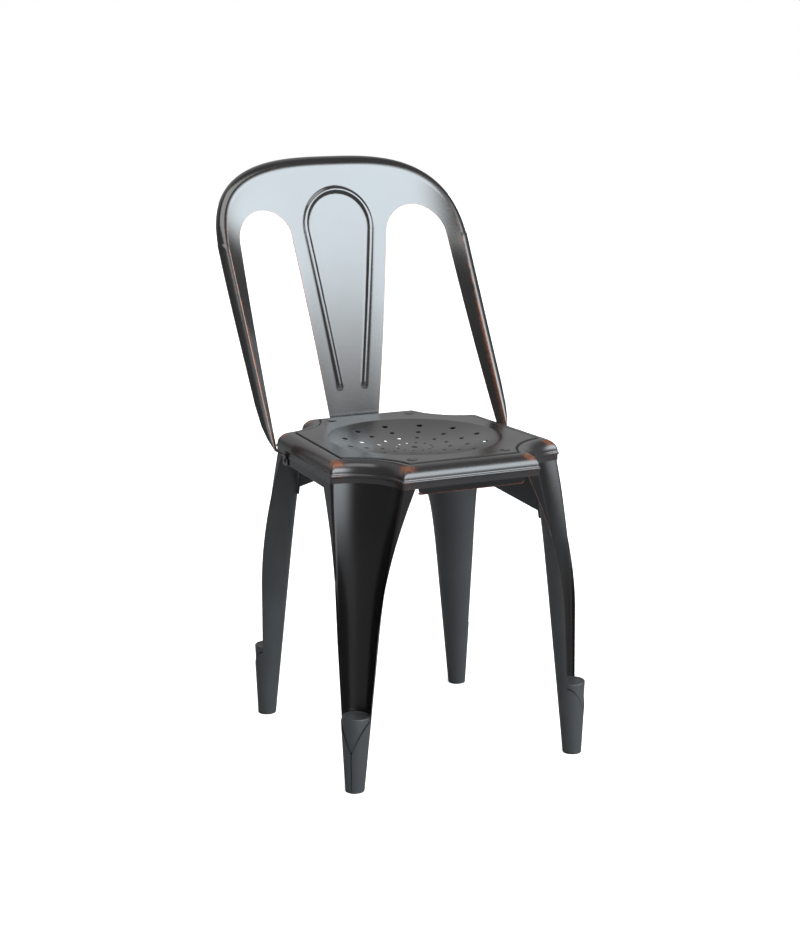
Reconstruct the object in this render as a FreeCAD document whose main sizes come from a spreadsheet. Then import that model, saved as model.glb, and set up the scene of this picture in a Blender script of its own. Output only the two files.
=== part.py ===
import FreeCAD, Part
import math
import os

import Sketcher
from FreeCAD import Placement, Rotation, Vector

# Metal bistro chair: a pressed steel seat pan on four gutter legs, with a one-piece pressed back.
# Lengths are in millimetres. X is the sitter's left and right, the seat faces -Y, Z is up.
# Every piece is first laid out about the middle of the seat's dish, on the floor.

SIZES = [
    ("sheet_gauge", 1.2, "thickness of the pressed steel sheet"),
    ("fit_gap", 0.3, "gap left between curved sheets that nest"),
    ("seat_top", 455.0, "height of the flat seat panel"),
    ("panel_front", 158.8, "dish centre to the panel's front edge"),
    ("panel_rear", 170.8, "dish centre to the panel's rear edge"),
    ("panel_side", 149.9, "half width of the panel at the dish centre"),
    ("side_taper", 0.055, "how much a side edge comes in per length towards the rear"),
    ("corner_radius", 96.0, "radius of the panel's hollow corners"),
    ("front_corner_x", 178.5, "centre of a front hollow corner, sideways"),
    ("front_corner_y", 178.7, "centre of a front hollow corner, forwards"),
    ("rear_corner_x", 168.8, "centre of a rear hollow corner, sideways"),
    ("rear_corner_y", 193.2, "centre of a rear hollow corner, backwards"),
    ("panel_step", 1.0, "height of the step round the panel"),
    ("rim_width", 23.4, "panel edge to the outer face of the rim"),
    ("rim_roll", 17.5, "radius of the rolled rim"),
    ("skirt_height", 30.0, "height of the rim below the step"),
    ("bead_size", 1.8, "how far the bead stands out of the rim"),
    ("bead_height", 3.4, "height of the bead"),
    ("bead_drop", 18.4, "step to the top of the bead"),
    ("dish_radius", 126.0, "radius of the round dish"),
    ("dish_depth", 16.4, "depth of the round dish"),
    ("hole_rings", 4.0, "rings of drain holes"),
    ("holes_per_ring", 12.0, "drain holes in each ring"),
    ("ring_pitch", 25.1, "distance from one ring of holes to the next"),
    ("inner_ring", 26.2, "radius of the innermost ring of holes"),
    ("inner_hole", 3.6, "diameter of the smallest drain holes"),
    ("hole_growth", 1.45, "how much a hole is wider than one in the ring inside it"),
    ("centre_hole", 7.6, "diameter of the middle drain hole"),
    ("rivet_front_x", 72.1, "front seat rivets, sideways"),
    ("rivet_front_y", 140.2, "front seat rivets, forwards"),
    ("rivet_rear_x", 64.6, "rear seat rivets, sideways"),
    ("rivet_rear_y", 151.8, "rear seat rivets, backwards"),
    ("rivet_shank", 5.0, "diameter of a rivet's shank"),
    ("rivet_head", 12.0, "diameter of a rivet's head"),
    ("rivet_rise", 1.6, "height of a rivet's head"),
    ("foot_front_x", 174.0, "front foot, sideways"),
    ("foot_front_y", 168.9, "front foot, forwards"),
    ("foot_rear_x", 164.5, "rear foot, sideways"),
    ("foot_rear_y", 180.8, "rear foot, backwards"),
    ("leg_lean", 0.028, "how much a leg comes in sideways per height"),
    ("leg_rake", 0.012, "how much a leg comes in lengthways per height"),
    ("foot_radius", 13.7, "radius of a leg at the floor"),
    ("leg_cone", 0.0735, "how much a leg's radius grows per height"),
    ("glide_rim", 3.0, "height of the glide under a leg"),
    ("glide_stem", 14.0, "height of the glide's plug inside a leg"),
    ("foot_seam", 0.1, "depth of the seams down a leg's foot"),
    ("notch_bottom", 58.0, "height of the point of the V notch in a leg"),
    ("notch_top", 108.0, "height of the top of the V notch in a leg"),
    ("flare_start", 205.0, "height where a leg begins to flare"),
    ("flare_power_out", 2.1, "how sharply a leg's edges draw in towards the seat"),
    ("flare_power_across", 2.9, "how sharply a leg's edges spread sideways"),
    ("flare_power_middle", 8.0, "how sharply a leg's inner face draws in"),
    ("ear_end_width", 17.0, "width of a leg's flat ear on the front or rear"),
    ("ear_front_side_width", 35.0, "width of a front leg's flat ear on the side"),
    ("ear_rear_side_width", 19.0, "width of a rear leg's flat ear on the side"),
    ("leg_inset", 1.8, "leg's face to the rim's outer face"),
    ("plug_rise", 1.5, "how far the foot plug stands above the notch"),
    ("apron_end_half", 79.0, "half length of the front and rear apron rails"),
    ("apron_side_half", 78.0, "half length of the side apron rails"),
    ("apron_side_shift", 11.0, "dish centre to the middle of a side apron rail, backwards"),
    ("apron_gauge", 1.5, "thickness of an apron rail"),
    ("apron_front_drop", 9.5, "rim's lower edge to the front apron's"),
    ("apron_rear_drop", 12.5, "rim's lower edge to that of the aprons that carry the back"),
    ("apron_curl", 9.0, "width of the apron's curled lower edge"),
    ("apron_web_rise", 10.0, "rim's lower edge up to the top of an apron's upright web"),
    ("apron_slope", 19.2, "how far an apron slopes inwards above its web"),
    ("apron_shelf", 30.0, "width of an apron's shelf under the panel"),
    ("brace_gauge", 2.0, "thickness of a cross brace"),
    ("brace_rise", 10.0, "rim's lower edge up to a brace's upper edge"),
    ("brace_waist", 14.0, "height of a brace at the middle"),
    ("brace_heel_drop", 64.0, "rim's lower edge to a brace's at a leg"),
    ("brace_shoulder_in", 74.0, "leg's inner face to where a brace's lower edge begins to arch"),
    ("brace_shoulder_drop", 28.0, "rim's lower edge to a brace's where it begins to arch"),
    ("brace_tab", 11.0, "height of the tab at a brace's heel"),
    ("brace_tab_width", 4.0, "width of that tab"),
    ("back_lean_base", 213.8, "dish centre to the back's middle at its reference height"),
    ("back_reference", 5.0, "seat panel to where the back's lean is measured"),
    ("back_lean", 0.16, "how much the back leans per height"),
    ("back_sweep", 0.00015, "how the lean grows with height"),
    ("splat_flat", 30.0, "half width of the flat middle of the back"),
    ("wrap_span", 150.0, "width over which the wrap below is measured"),
    ("wrap_base", 115.0, "how far the back wraps forward at its reference height"),
    ("wrap_fall", 0.395, "how much the wrap falls per height"),
    ("wrap_ease", 0.00022, "how the fall eases with height"),
    ("arch_base", 235.0, "seat panel to where the arch of the back begins"),
    ("ridge_side", 194.0, "half width of the back at the start of its rolled edge"),
    ("ridge_foot", 190.5, "half width of the back at the reference height"),
    ("ridge_rise", 130.0, "arch base to the start of the rolled edge at the top"),
    ("arch_power", 3.0, "squareness of the arch, 2 for an ellipse"),
    ("roll_out", 11.5, "how far the rolled edge goes outwards along the stiles"),
    ("roll_back", 7.5, "how far the rolled edge goes backwards along the stiles"),
    ("roll_top", 16.5, "how far the rolled edge goes up and back at the top"),
    ("roll_lip", 5.0, "straight lip at the end of the rolled edge at the top"),
    ("roll_lip_side", 1.0, "the same lip at the sides"),
    ("opening_x", 125.3, "middle of an opening's round top, sideways"),
    ("opening_rise", 260.0, "seat panel to the middle of an opening's round top"),
    ("opening_radius", 46.5, "radius of an opening's round top"),
    ("splat_base", 43.2, "half width of the splat at the reference height"),
    ("stile_base", 180.8, "centre to the stile's inner edge at the reference height"),
    ("foot_bend_drop", 18.0, "seat panel to where the back's lower ends bend in"),
    ("rib_base", 18.0, "half distance of the rib's two lower ends"),
    ("rib_bottom", 35.0, "seat panel to the rib's lower ends"),
    ("rib_radius", 53.0, "radius of the rib's arch"),
    ("rib_centre", 272.0, "seat panel to the middle of the rib's arch"),
    ("rib_width", 11.0, "width of the rib"),
    ("rib_height", 2.4, "how far the rib stands out"),
    ("stile_bolt_y", 82.0, "bolt through a stile's foot, backwards"),
    ("splat_bolt_x", 24.0, "bolts through the splat's foot, sideways"),
    ("joggle_clear", 2.8, "rim's outer face to the back's lower ends above their joggle"),
    ("joggle_rise", 5.0, "height of the joggle above the rim's lower edge"),
    ("joggle_drop", 1.0, "how far the joggle reaches below the rim's lower edge"),
    ("foot_margin", 2.2, "bolt head to the edge of a lower end"),
    ("bolt_drop", 6.0, "rim's lower edge to the bolts through the aprons"),
    ("bolt_shank", 5.0, "diameter of the bolts"),
    ("bolt_head", 9.4, "diameter of a bolt's round head"),
    ("bolt_rise", 2.6, "height of a bolt's round head"),
    ("nut_width", 8.0, "width across a nut's flats"),
    ("nut_height", 4.0, "height of a nut"),
]

doc = FreeCAD.newDocument("bistro_chair")
sheet = doc.addObject("Spreadsheet::Sheet", "Sizes")
for row, (alias, value, note) in enumerate(SIZES, start=1):
    sheet.set("A%d" % row, alias)
    sheet.set("B%d" % row, str(value))
    sheet.set("C%d" % row, note)
    sheet.setAlias("B%d" % row, alias)
doc.recompute()


def size(alias):
    """The value that the sheet holds for a driving size."""
    return float(getattr(sheet, alias))


def above_seat(alias):
    """The height on the floor's scale of a size that is measured up from the seat panel."""
    return size("seat_top") + size(alias)


gauge = size("sheet_gauge")
step_z = size("seat_top") - size("panel_step")
skirt_z = step_z - size("skirt_height")
bend_z = size("seat_top") - size("foot_bend_drop")
bolt_z = skirt_z - size("bolt_drop")


# Shared geometry

def plan_corner(offset, rear):
    """A hollow corner of the seat outline, in the quadrant x > 0, with y counted outwards.

    The outline lies offset outside the panel. The corner is an arc about a fixed centre, so its
    radius shrinks by the offset. Gives where the arc meets the front or rear edge, its middle,
    and where it meets the side edge.
    """
    name = "rear" if rear else "front"
    centre = Vector(size(name + "_corner_x"), size(name + "_corner_y"), 0)
    radius = size("corner_radius") - offset
    edge_y = size("panel_" + name) + offset
    taper = -size("side_taper") if rear else size("side_taper")
    side_x = size("panel_side") + offset * math.hypot(1, taper)
    on_edge = Vector(centre.x - math.sqrt(radius ** 2 - (edge_y - centre.y) ** 2), edge_y, 0)
    quad_a = 1 + taper ** 2
    quad_b = taper * (side_x - centre.x) - centre.y
    quad_c = (side_x - centre.x) ** 2 + centre.y ** 2 - radius ** 2
    side_y = (-quad_b - math.sqrt(quad_b ** 2 - quad_a * quad_c)) / quad_a
    on_side = Vector(side_x + taper * side_y, side_y, 0)
    towards = (on_edge + on_side) * 0.5 - centre
    middle = centre + towards.normalize() * radius
    return on_edge, middle, on_side


def place(point, side, rear, height=None):
    """Turn a quadrant point into a real one: side is 1 or -1, and rear says which end."""
    y = point.y if rear else -point.y
    return Vector(side * point.x, y, point.z if height is None else height)


def seat_outline(offset, height):
    """The seat's outline, offset outwards from the panel's edge, as a face at a height."""
    edges = []
    corners = []
    for side, rear in ((-1, False), (1, False), (1, True), (-1, True)):
        points = [place(p, side, rear, height) for p in plan_corner(offset, rear)]
        starts_on_side = (side == -1) != rear
        corners.append(points[::-1] if starts_on_side else points)
    for index, (start, middle, end) in enumerate(corners):
        following = corners[(index + 1) % len(corners)][0]
        edges.append(Part.Arc(start, middle, end).toShape())
        edges.append(Part.LineSegment(end, following).toShape())
    return Part.Face(Part.Wire(edges))


def level_edges(solid, height):
    """The edges of a solid that lie level at a height."""
    return [e for e in solid.Edges
            if abs(e.BoundBox.ZMin - height) < 1e-4 and abs(e.BoundBox.ZMax - height) < 1e-4]


def feature(label, shape):
    """Add a sub-part to the document with its label and shape."""
    piece = doc.addObject("Part::Feature", label)
    piece.Label = label
    piece.Shape = shape
    return piece


def single_solid(shape):
    """The one solid that a boolean leaves."""
    clean = shape.removeSplitter()
    if len(clean.Solids) != 1:
        raise RuntimeError("expected one solid, got %d" % len(clean.Solids))
    return clean.Solids[0]


# Seat pan

def pan_block(inset):
    """The full body of the pan, with every outer face moved in by inset."""
    bottom = skirt_z - (inset and 1.0)
    rim = seat_outline(size("rim_width") - inset, bottom).extrude(Vector(0, 0, step_z - inset - bottom))
    rim = rim.makeFillet(size("rim_roll") - inset, level_edges(rim, step_z - inset))
    panel = seat_outline(-inset, bottom).extrude(Vector(0, 0, size("seat_top") - inset - bottom))
    return rim.fuse(panel)


def dish_ball(inset):
    """The ball whose lower cap is the dish, made larger by inset."""
    radius = (size("dish_radius") ** 2 + size("dish_depth") ** 2) / (2 * size("dish_depth"))
    centre = Vector(0, 0, size("seat_top") - size("dish_depth") + radius)
    return Part.makeSphere(radius + inset, centre)


def drain_holes():
    """Cylinders for the rings of drain holes and the middle hole."""
    low = Vector(0, 0, size("seat_top") - 2 * size("dish_depth"))
    depth = 2 * size("dish_depth")
    drills = [Part.makeCylinder(size("centre_hole") / 2, depth, low)]
    for ring in range(int(size("hole_rings"))):
        radius = size("inner_ring") + ring * size("ring_pitch")
        drill = Part.makeCylinder((size("inner_hole") + ring * size("hole_growth")) / 2, depth, low)
        for index in range(int(size("holes_per_ring"))):
            turned = drill.copy()
            turned.translate(Vector(radius, 0, 0))
            turned.rotate(Vector(0, 0, 0), Vector(0, 0, 1), 360 * index / size("holes_per_ring"))
            drills.append(turned)
    return drills


def seat_pan_shape():
    bead_top = step_z - size("bead_drop")
    bead = seat_outline(size("rim_width") + size("bead_size"), bead_top - size("bead_height"))
    bead = bead.extrude(Vector(0, 0, size("bead_height")))
    outside = pan_block(0).fuse(bead).cut(dish_ball(0))
    inside = pan_block(gauge).cut(dish_ball(gauge))
    pan = outside.cut(inside)
    drills = drain_holes()
    for x, y, rear in rivet_places():
        shank = Part.makeCylinder(size("rivet_shank") / 2, 10, Vector(x, y, size("seat_top") - 5))
        drills.append(shank)
    return single_solid(pan.cut(drills))


def rivet_places():
    """Where the four seat rivets stand."""
    places = []
    for rear in (False, True):
        name = "rear" if rear else "front"
        for side in (-1, 1):
            y = size("rivet_%s_y" % name) * (1 if rear else -1)
            places.append((side * size("rivet_%s_x" % name), y, rear))
    return places


# Legs

OUT = Vector(1, 1, 0).normalize()
ACROSS = Vector(-1, 1, 0).normalize()
EDGE_ANGLE = math.radians(10)


def leg_axis(height, rear):
    """The middle of a leg at a height, in quadrant terms."""
    name = "rear" if rear else "front"
    return Vector(size("foot_%s_x" % name) - size("leg_lean") * height,
                  size("foot_%s_y" % name) - size("leg_rake") * height, 0)


def leg_radius(height):
    return size("foot_radius") + size("leg_cone") * height


def blend(low, high, share):
    return low + (high - low) * share


def leg_points(height, rear):
    """The gutter's outer face at a height: ear end, fold, middle, fold, ear end.

    Below the flare it is half a circle about the leg's middle. Above it, each point moves towards
    its place under the seat's rim, by a power of the height.
    """
    centre = leg_axis(height, rear)
    radius = leg_radius(height)
    cosine = radius * math.cos(EDGE_ANGLE)
    sine = radius * math.sin(EDGE_ANGLE)
    low = [centre + ACROSS * radius,
           centre + ACROSS * cosine - OUT * sine,
           centre - OUT * radius,
           centre - ACROSS * cosine - OUT * sine,
           centre - ACROSS * radius]
    on_edge, middle, on_side = plan_corner(size("rim_width") - size("leg_inset"), rear)
    down_side = Vector(size("side_taper") * (1 if rear else -1), -1, 0).normalize()
    side_width = size("ear_rear_side_width") if rear else size("ear_front_side_width")
    high = [on_edge + Vector(-size("ear_end_width"), 0, 0),
            on_edge,
            middle,
            on_side,
            on_side + down_side * side_width]
    share = max(0.0, (height - size("flare_start")) / (skirt_z - size("flare_start")))
    out_share = share ** size("flare_power_out")
    across_share = share ** size("flare_power_across")
    middle_share = share ** size("flare_power_middle")
    points = []
    for index, (a, b) in enumerate(zip(low, high)):
        move = b - a
        if index == 2:
            points.append(a + move * middle_share)
        else:
            points.append(a + OUT * (move.dot(OUT) * out_share) + ACROSS * (move.dot(ACROSS) * across_share))
    return points


def quarter_turn(vector, sign):
    return Vector(-sign * vector.y, sign * vector.x, 0)


def arc_centre(start, middle, end):
    return Part.Circle(start, middle, end).Center


def thicken(points, thickness):
    """The face behind a gutter's points: each moved off by the sheet's thickness, mitred at folds."""
    end_a, fold_a, middle, fold_b, end_b = points
    centre = arc_centre(fold_a, middle, fold_b)
    normal_a = quarter_turn((end_a - fold_a).normalize(), 1)
    normal_b = quarter_turn((end_b - fold_b).normalize(), -1)
    radial_a = (fold_a - centre).normalize()
    radial_b = (fold_b - centre).normalize()
    return [end_a + normal_a * thickness,
            fold_a + (normal_a + radial_a) * (thickness / (1 + normal_a.dot(radial_a))),
            middle + (middle - centre).normalize() * thickness,
            fold_b + (normal_b + radial_b) * (thickness / (1 + normal_b.dot(radial_b))),
            end_b + normal_b * thickness]


def gutter_wire(outer, inner, side, rear, height):
    """The closed section of a gutter between its two faces, at a height."""
    front = [place(p, side, rear, height) for p in outer]
    behind = [place(p, side, rear, height) for p in inner]
    edges = [Part.LineSegment(front[0], front[1]).toShape(),
             Part.Arc(front[1], front[2], front[3]).toShape(),
             Part.LineSegment(front[3], front[4]).toShape(),
             Part.LineSegment(front[4], behind[4]).toShape(),
             Part.LineSegment(behind[4], behind[3]).toShape(),
             Part.Arc(behind[3], behind[2], behind[1]).toShape(),
             Part.LineSegment(behind[1], behind[0]).toShape(),
             Part.LineSegment(behind[0], front[0]).toShape()]
    return Part.Wire(edges)


def cone_between(low, high, inset, side, rear):
    """A round leg body between two heights, with its surface moved in by inset."""
    rings = []
    for height in (low, high):
        centre = place(leg_axis(height, rear), side, rear, height)
        ring = Part.Circle(centre, Vector(0, 0, 1), leg_radius(height) - inset)
        rings.append(Part.Wire([ring.toShape()]))
    return Part.makeLoft(rings, True, True)


def outward_prism(outline, side, rear):
    """A prism that runs outwards from a leg's middle plane, from (across, height) corners."""
    middle = leg_axis(size("notch_top"), rear)
    corners = [place(middle + ACROSS * across, side, rear, height) for across, height in outline]
    face = Part.Face(Part.makePolygon(corners + corners[:1]))
    return face.extrude(place(OUT, side, rear, 0) * (4 * leg_radius(size("notch_top"))))


def leg_lips(side, rear):
    """The outward half of a leg's foot, with its V notch, a seam's depth inside the gutter's faces."""
    low = size("glide_rim")
    top = size("notch_top")
    bottom = size("notch_bottom")
    seam = size("foot_seam")
    half = leg_radius(top)
    lips = cone_between(low, top, seam, side, rear).cut(cone_between(low, top, gauge - seam, side, rear))
    lips = lips.common(outward_prism([(-half, low), (half, low), (half, top), (-half, top)], side, rear))
    notch = [(0, bottom), (half, top), (half, top + half), (-half, top + half), (-half, top)]
    return lips.cut(outward_prism(notch, side, rear))


def leg_shape(side, rear):
    low = size("glide_rim")
    start = size("flare_start")
    stations = [blend(low, start, share) for share in (0, 0.25, 0.5, 0.75, 1)]
    stations += [blend(start, skirt_z, share) for share in (0.25, 0.5, 0.7, 0.86, 1.0)]
    sections = []
    for height in stations:
        behind = leg_points(height, rear)
        sections.append(gutter_wire(thicken(behind, -gauge), behind, side, rear, height))
    gutter = Part.makeLoft(sections, True, False)
    return single_solid(gutter.fuse(leg_lips(side, rear)))


# Pieces built as feature trees

def bound_profile(body, name, plane, corners):
    """A closed sketch of straight lines whose corners are bound to the sheet.

    Each corner is a pair of expressions, across and up, measured from the sketch's origin.
    """
    sketch = body.newObject("Sketcher::SketchObject", name)
    support = [item for item in body.Origin.OriginFeatures if item.Role == plane][0]
    sketch.AttachmentSupport = [(support, "")]
    sketch.MapMode = "FlatFace"
    cells = doc.addObject("Part::Feature", name + "_cells")
    spots = []
    for across, up in corners:
        values = []
        for expression in (across, up):
            cells.setExpression("Placement.Base.x", expression)
            doc.recompute([cells])
            values.append(cells.Placement.Base.x)
        spots.append(Vector(values[0], values[1], 0))
    doc.removeObject(cells.Name)
    count = len(spots)
    for index, spot in enumerate(spots):
        sketch.addGeometry(Part.LineSegment(spot, spots[(index + 1) % count]), False)
    for index in range(count):
        sketch.addConstraint(Sketcher.Constraint("Coincident", index, 2, (index + 1) % count, 1))
    for index, (across, up) in enumerate(corners):
        for kind, expression, value in (("DistanceX", across, spots[index].x),
                                        ("DistanceY", up, spots[index].y)):
            number = sketch.addConstraint(Sketcher.Constraint(kind, -1, 1, index, 1, value))
            sketch.setExpression("Constraints[%d]" % number, expression)
    return sketch


def turned_body(label, corners):
    """A body turned about Z from a profile of (radius, height) expressions."""
    body = doc.addObject("PartDesign::Body", label)
    body.Label = label
    sketch = bound_profile(body, label + "_profile", "XZ_Plane", corners)
    turn = body.newObject("PartDesign::Revolution", label + "_turn")
    turn.Profile = sketch
    turn.ReferenceAxis = (sketch, ["V_Axis"])
    turn.Angle = 360
    body.Tip = turn
    return body


def padded_body(label, plane, corners, length):
    """A body padded both ways from a profile, to a full length given as an expression."""
    body = doc.addObject("PartDesign::Body", label)
    body.Label = label
    sketch = bound_profile(body, label + "_profile", plane, corners)
    pad = body.newObject("PartDesign::Pad", label + "_pad")
    pad.Profile = sketch
    pad.Midplane = True
    pad.setExpression("Length", length)
    body.Tip = pad
    return body


S = "Sizes."
INSIDE = S + "foot_radius - " + S + "sheet_gauge - " + S + "fit_gap"
PLUG_LOW = "(%sglide_stem + %sfit_gap)" % (S, S)
PLUG_HIGH = "(%snotch_top + %splug_rise)" % (S, S)


def plug_radius(height, wall):
    """The foot plug's radius at a height, less a wall, as an expression."""
    return "%s + %sleg_cone * %s - %s" % (INSIDE, S, height, wall)


def glide_body(label):
    stem = "%s + %sleg_cone * %sglide_rim" % (INSIDE, S, S)
    chamfer = "1"
    return turned_body(label, [
        ("0", "0"),
        (S + "foot_radius - " + chamfer, "0"),
        (S + "foot_radius", chamfer),
        (S + "foot_radius", S + "glide_rim"),
        (stem, S + "glide_rim"),
        (stem, S + "glide_stem"),
        ("0", S + "glide_stem")])


def plug_body(label):
    wall = S + "sheet_gauge"
    return turned_body(label, [
        (plug_radius(PLUG_LOW, wall), PLUG_LOW),
        (plug_radius(PLUG_LOW, "0"), PLUG_LOW),
        (plug_radius(PLUG_HIGH, "0"), PLUG_HIGH),
        ("0", PLUG_HIGH),
        ("0", PLUG_HIGH + " - " + wall),
        (plug_radius(PLUG_HIGH, wall), PLUG_HIGH + " - " + wall)])


def apron_body(label, half_alias, drop_alias):
    """An apron rail: a web with a curled foot, bent over at the top into a shelf under the panel.

    The profile's origin is on the web's outer face, at the floor. Inwards is negative.
    """
    thick = S + "apron_gauge"
    rim_low = "(%sseat_top - %spanel_step - %sskirt_height)" % (S, S, S)
    low = "(%s - %s)" % (rim_low, S + drop_alias)
    web_top = "(%s + %sapron_web_rise)" % (rim_low, S)
    shelf_top = "(%sseat_top - %spanel_step - %ssheet_gauge)" % (S, S, S)
    slope_in = S + "apron_slope"
    shelf_in = "(%s + %sapron_shelf)" % (slope_in, S)
    return padded_body(label, "YZ_Plane", [
        ("0", low),
        ("0", web_top),
        ("-" + slope_in, shelf_top),
        ("-" + shelf_in, shelf_top),
        ("-" + shelf_in, shelf_top + " - " + thick),
        ("-%s - %s * 0.4" % (slope_in, thick), shelf_top + " - " + thick),
        ("-" + thick, web_top + " - " + thick + " * 0.4"),
        ("-" + thick, low + " + " + thick),
        ("-" + S + "apron_curl", low + " + " + thick),
        ("-" + S + "apron_curl", low)], "2 * " + S + half_alias)


# Cross braces

def leg_face(height, side, rear):
    """The middle of a leg's inner face at a height."""
    return place(leg_points(height, rear)[2], side, rear, height)


def brace_shape(front_side):
    """A flat web on edge under the seat, from a front leg's inner face to the opposite rear leg's.

    Its lower edge slopes up from a tab at each leg and arches over the middle. The two braces
    cross in half-lap slots.
    """
    top = skirt_z
    front = leg_face(top, front_side, False)
    rear = leg_face(top, -front_side, True)
    way = (rear - front) * (1 / (rear - front).Length)
    aside = Vector(-way.y, way.x, 0)
    span = (rear - front).Length

    def leg_reach(height, side, at_rear):
        """How far along the brace a leg's inner face stands at a height."""
        return (leg_face(height, side, at_rear) - front).dot(way)

    def at(along, height):
        point = front + way * along
        return Vector(point.x, point.y, height)

    gap = size("fit_gap")
    upper = top + size("brace_rise")
    heel = top - size("brace_heel_drop")
    shoulder_z = top - size("brace_shoulder_drop")
    toe = heel - size("brace_tab")
    tab = size("brace_tab_width")
    shoulder = size("brace_shoulder_in")
    front_heel = leg_reach(heel, front_side, False) + gap
    rear_heel = leg_reach(heel, -front_side, True) - gap
    front_toe = leg_reach(toe, front_side, False) + gap
    rear_toe = leg_reach(toe, -front_side, True) - gap
    outline = [at(gap, upper), at(gap, top), at(front_heel, heel), at(front_toe, toe),
               at(front_toe + tab, toe), at(front_heel + tab, heel), at(shoulder, shoulder_z)]
    mirror_outline = [at(span - shoulder, shoulder_z), at(rear_heel - tab, heel),
                      at(rear_toe - tab, toe), at(rear_toe, toe), at(rear_heel, heel),
                      at(span - gap, top), at(span - gap, upper)]
    edges = [Part.LineSegment(a, b).toShape() for a, b in zip(outline, outline[1:])]
    crown = at(span / 2, upper - size("brace_waist"))
    edges.append(Part.Arc(outline[-1], crown, mirror_outline[0]).toShape())
    edges += [Part.LineSegment(a, b).toShape() for a, b in zip(mirror_outline, mirror_outline[1:])]
    edges.append(Part.LineSegment(mirror_outline[-1], outline[0]).toShape())
    web = Part.Face(Part.Wire(edges)).extrude(aside * size("brace_gauge"))
    web.translate(aside * (-size("brace_gauge") / 2))
    return web.cut(brace_slot(front, rear, front_side))


def brace_slot(front, rear, front_side):
    """The slot where the braces cross: one is open below and the other above."""
    share = front.x / (front.x - rear.x)
    crossing_y = blend(front.y, rear.y, share)
    other = Vector(-(rear.x - front.x), rear.y - front.y, 0).normalize()
    half = size("brace_gauge") / 2 + size("fit_gap")
    upper = skirt_z + size("brace_rise")
    half_lap = upper - size("brace_waist") / 2
    low, high = half_lap, upper + half
    if front_side < 0:
        low, high = upper - size("brace_waist") - half, half_lap
    slot = Part.makeBox(8 * half, 2 * half, high - low, Vector(-4 * half, -half, low))
    slot.rotate(Vector(0, 0, 0), Vector(0, 0, 1), math.degrees(math.atan2(other.y, other.x)))
    slot.translate(Vector(0, crossing_y, 0))
    return slot


# Round heads, rivets, bolts and nuts

def domed_pin(head, rise, shank, length):
    """A pin along Z with a domed head: the head's flat face is at 0 and the shank runs down."""
    radius = head / 2
    rim = Vector(radius, 0, 0)
    crown = Vector(0, 0, rise)
    ball = (radius ** 2 + rise ** 2) / (2 * rise)
    angle = math.asin(radius / ball) / 2
    halfway = Vector(ball * math.sin(angle), 0, rise - ball * (1 - math.cos(angle)))
    edges = [Part.Arc(crown, halfway, rim).toShape(),
             Part.LineSegment(rim, Vector(shank / 2, 0, 0)).toShape(),
             Part.LineSegment(Vector(shank / 2, 0, 0), Vector(shank / 2, 0, -length)).toShape(),
             Part.LineSegment(Vector(shank / 2, 0, -length), Vector(0, 0, -length)).toShape(),
             Part.LineSegment(Vector(0, 0, -length), crown).toShape()]
    return Part.Face(Part.Wire(edges)).revolve(Vector(0, 0, 0), Vector(0, 0, 1), 360)


def hex_nut(width, height, bore):
    """A nut along Z, from 0 up."""
    radius = width / math.sqrt(3)
    corners = [Vector(radius * math.cos(math.radians(60 * i)), radius * math.sin(math.radians(60 * i)), 0)
               for i in range(7)]
    block = Part.Face(Part.makePolygon(corners)).extrude(Vector(0, 0, height))
    return block.cut(Part.makeCylinder(bore / 2, height))


def aimed(shape, position, direction):
    """A copy of a shape made along Z, turned to point along direction at a position."""
    copy = shape.copy()
    copy.Placement = Placement(position, Rotation(Vector(0, 0, 1), direction))
    return copy


def seat_rivets_shape():
    under = gauge + size("panel_step") + size("apron_gauge") + 1
    pin = domed_pin(size("rivet_head"), size("rivet_rise"), size("rivet_shank") - 2 * size("fit_gap"), under)
    pins = []
    for x, y, rear in rivet_places():
        pins.append(aimed(pin, Vector(x, y, size("seat_top")), Vector(0, 0, 1)))
    return Part.makeCompound(pins)


# Back shell

def back_middle(height):
    """How far behind the dish centre the flat middle of the back stands at a height."""
    rise = height - above_seat("back_reference")
    return size("back_lean_base") + size("back_lean") * rise + size("back_sweep") * rise ** 2


def back_wrap(height):
    """How far the back comes forward over the wrap span at a height."""
    rise = height - above_seat("back_reference")
    return size("wrap_base") - size("wrap_fall") * rise + size("wrap_ease") * rise ** 2


def back_y(across, height):
    """The back's front face: flat in the middle, then a parabola forwards."""
    reach = max(0.0, abs(across) - size("splat_flat")) / size("wrap_span")
    return back_middle(height) - back_wrap(height) * reach ** 2


def back_slope(across, height):
    reach = max(0.0, abs(across) - size("splat_flat")) / size("wrap_span") ** 2
    return 2 * back_wrap(height) * reach


def on_back(across, height):
    return Vector(across, back_y(across, height), height)


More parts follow.
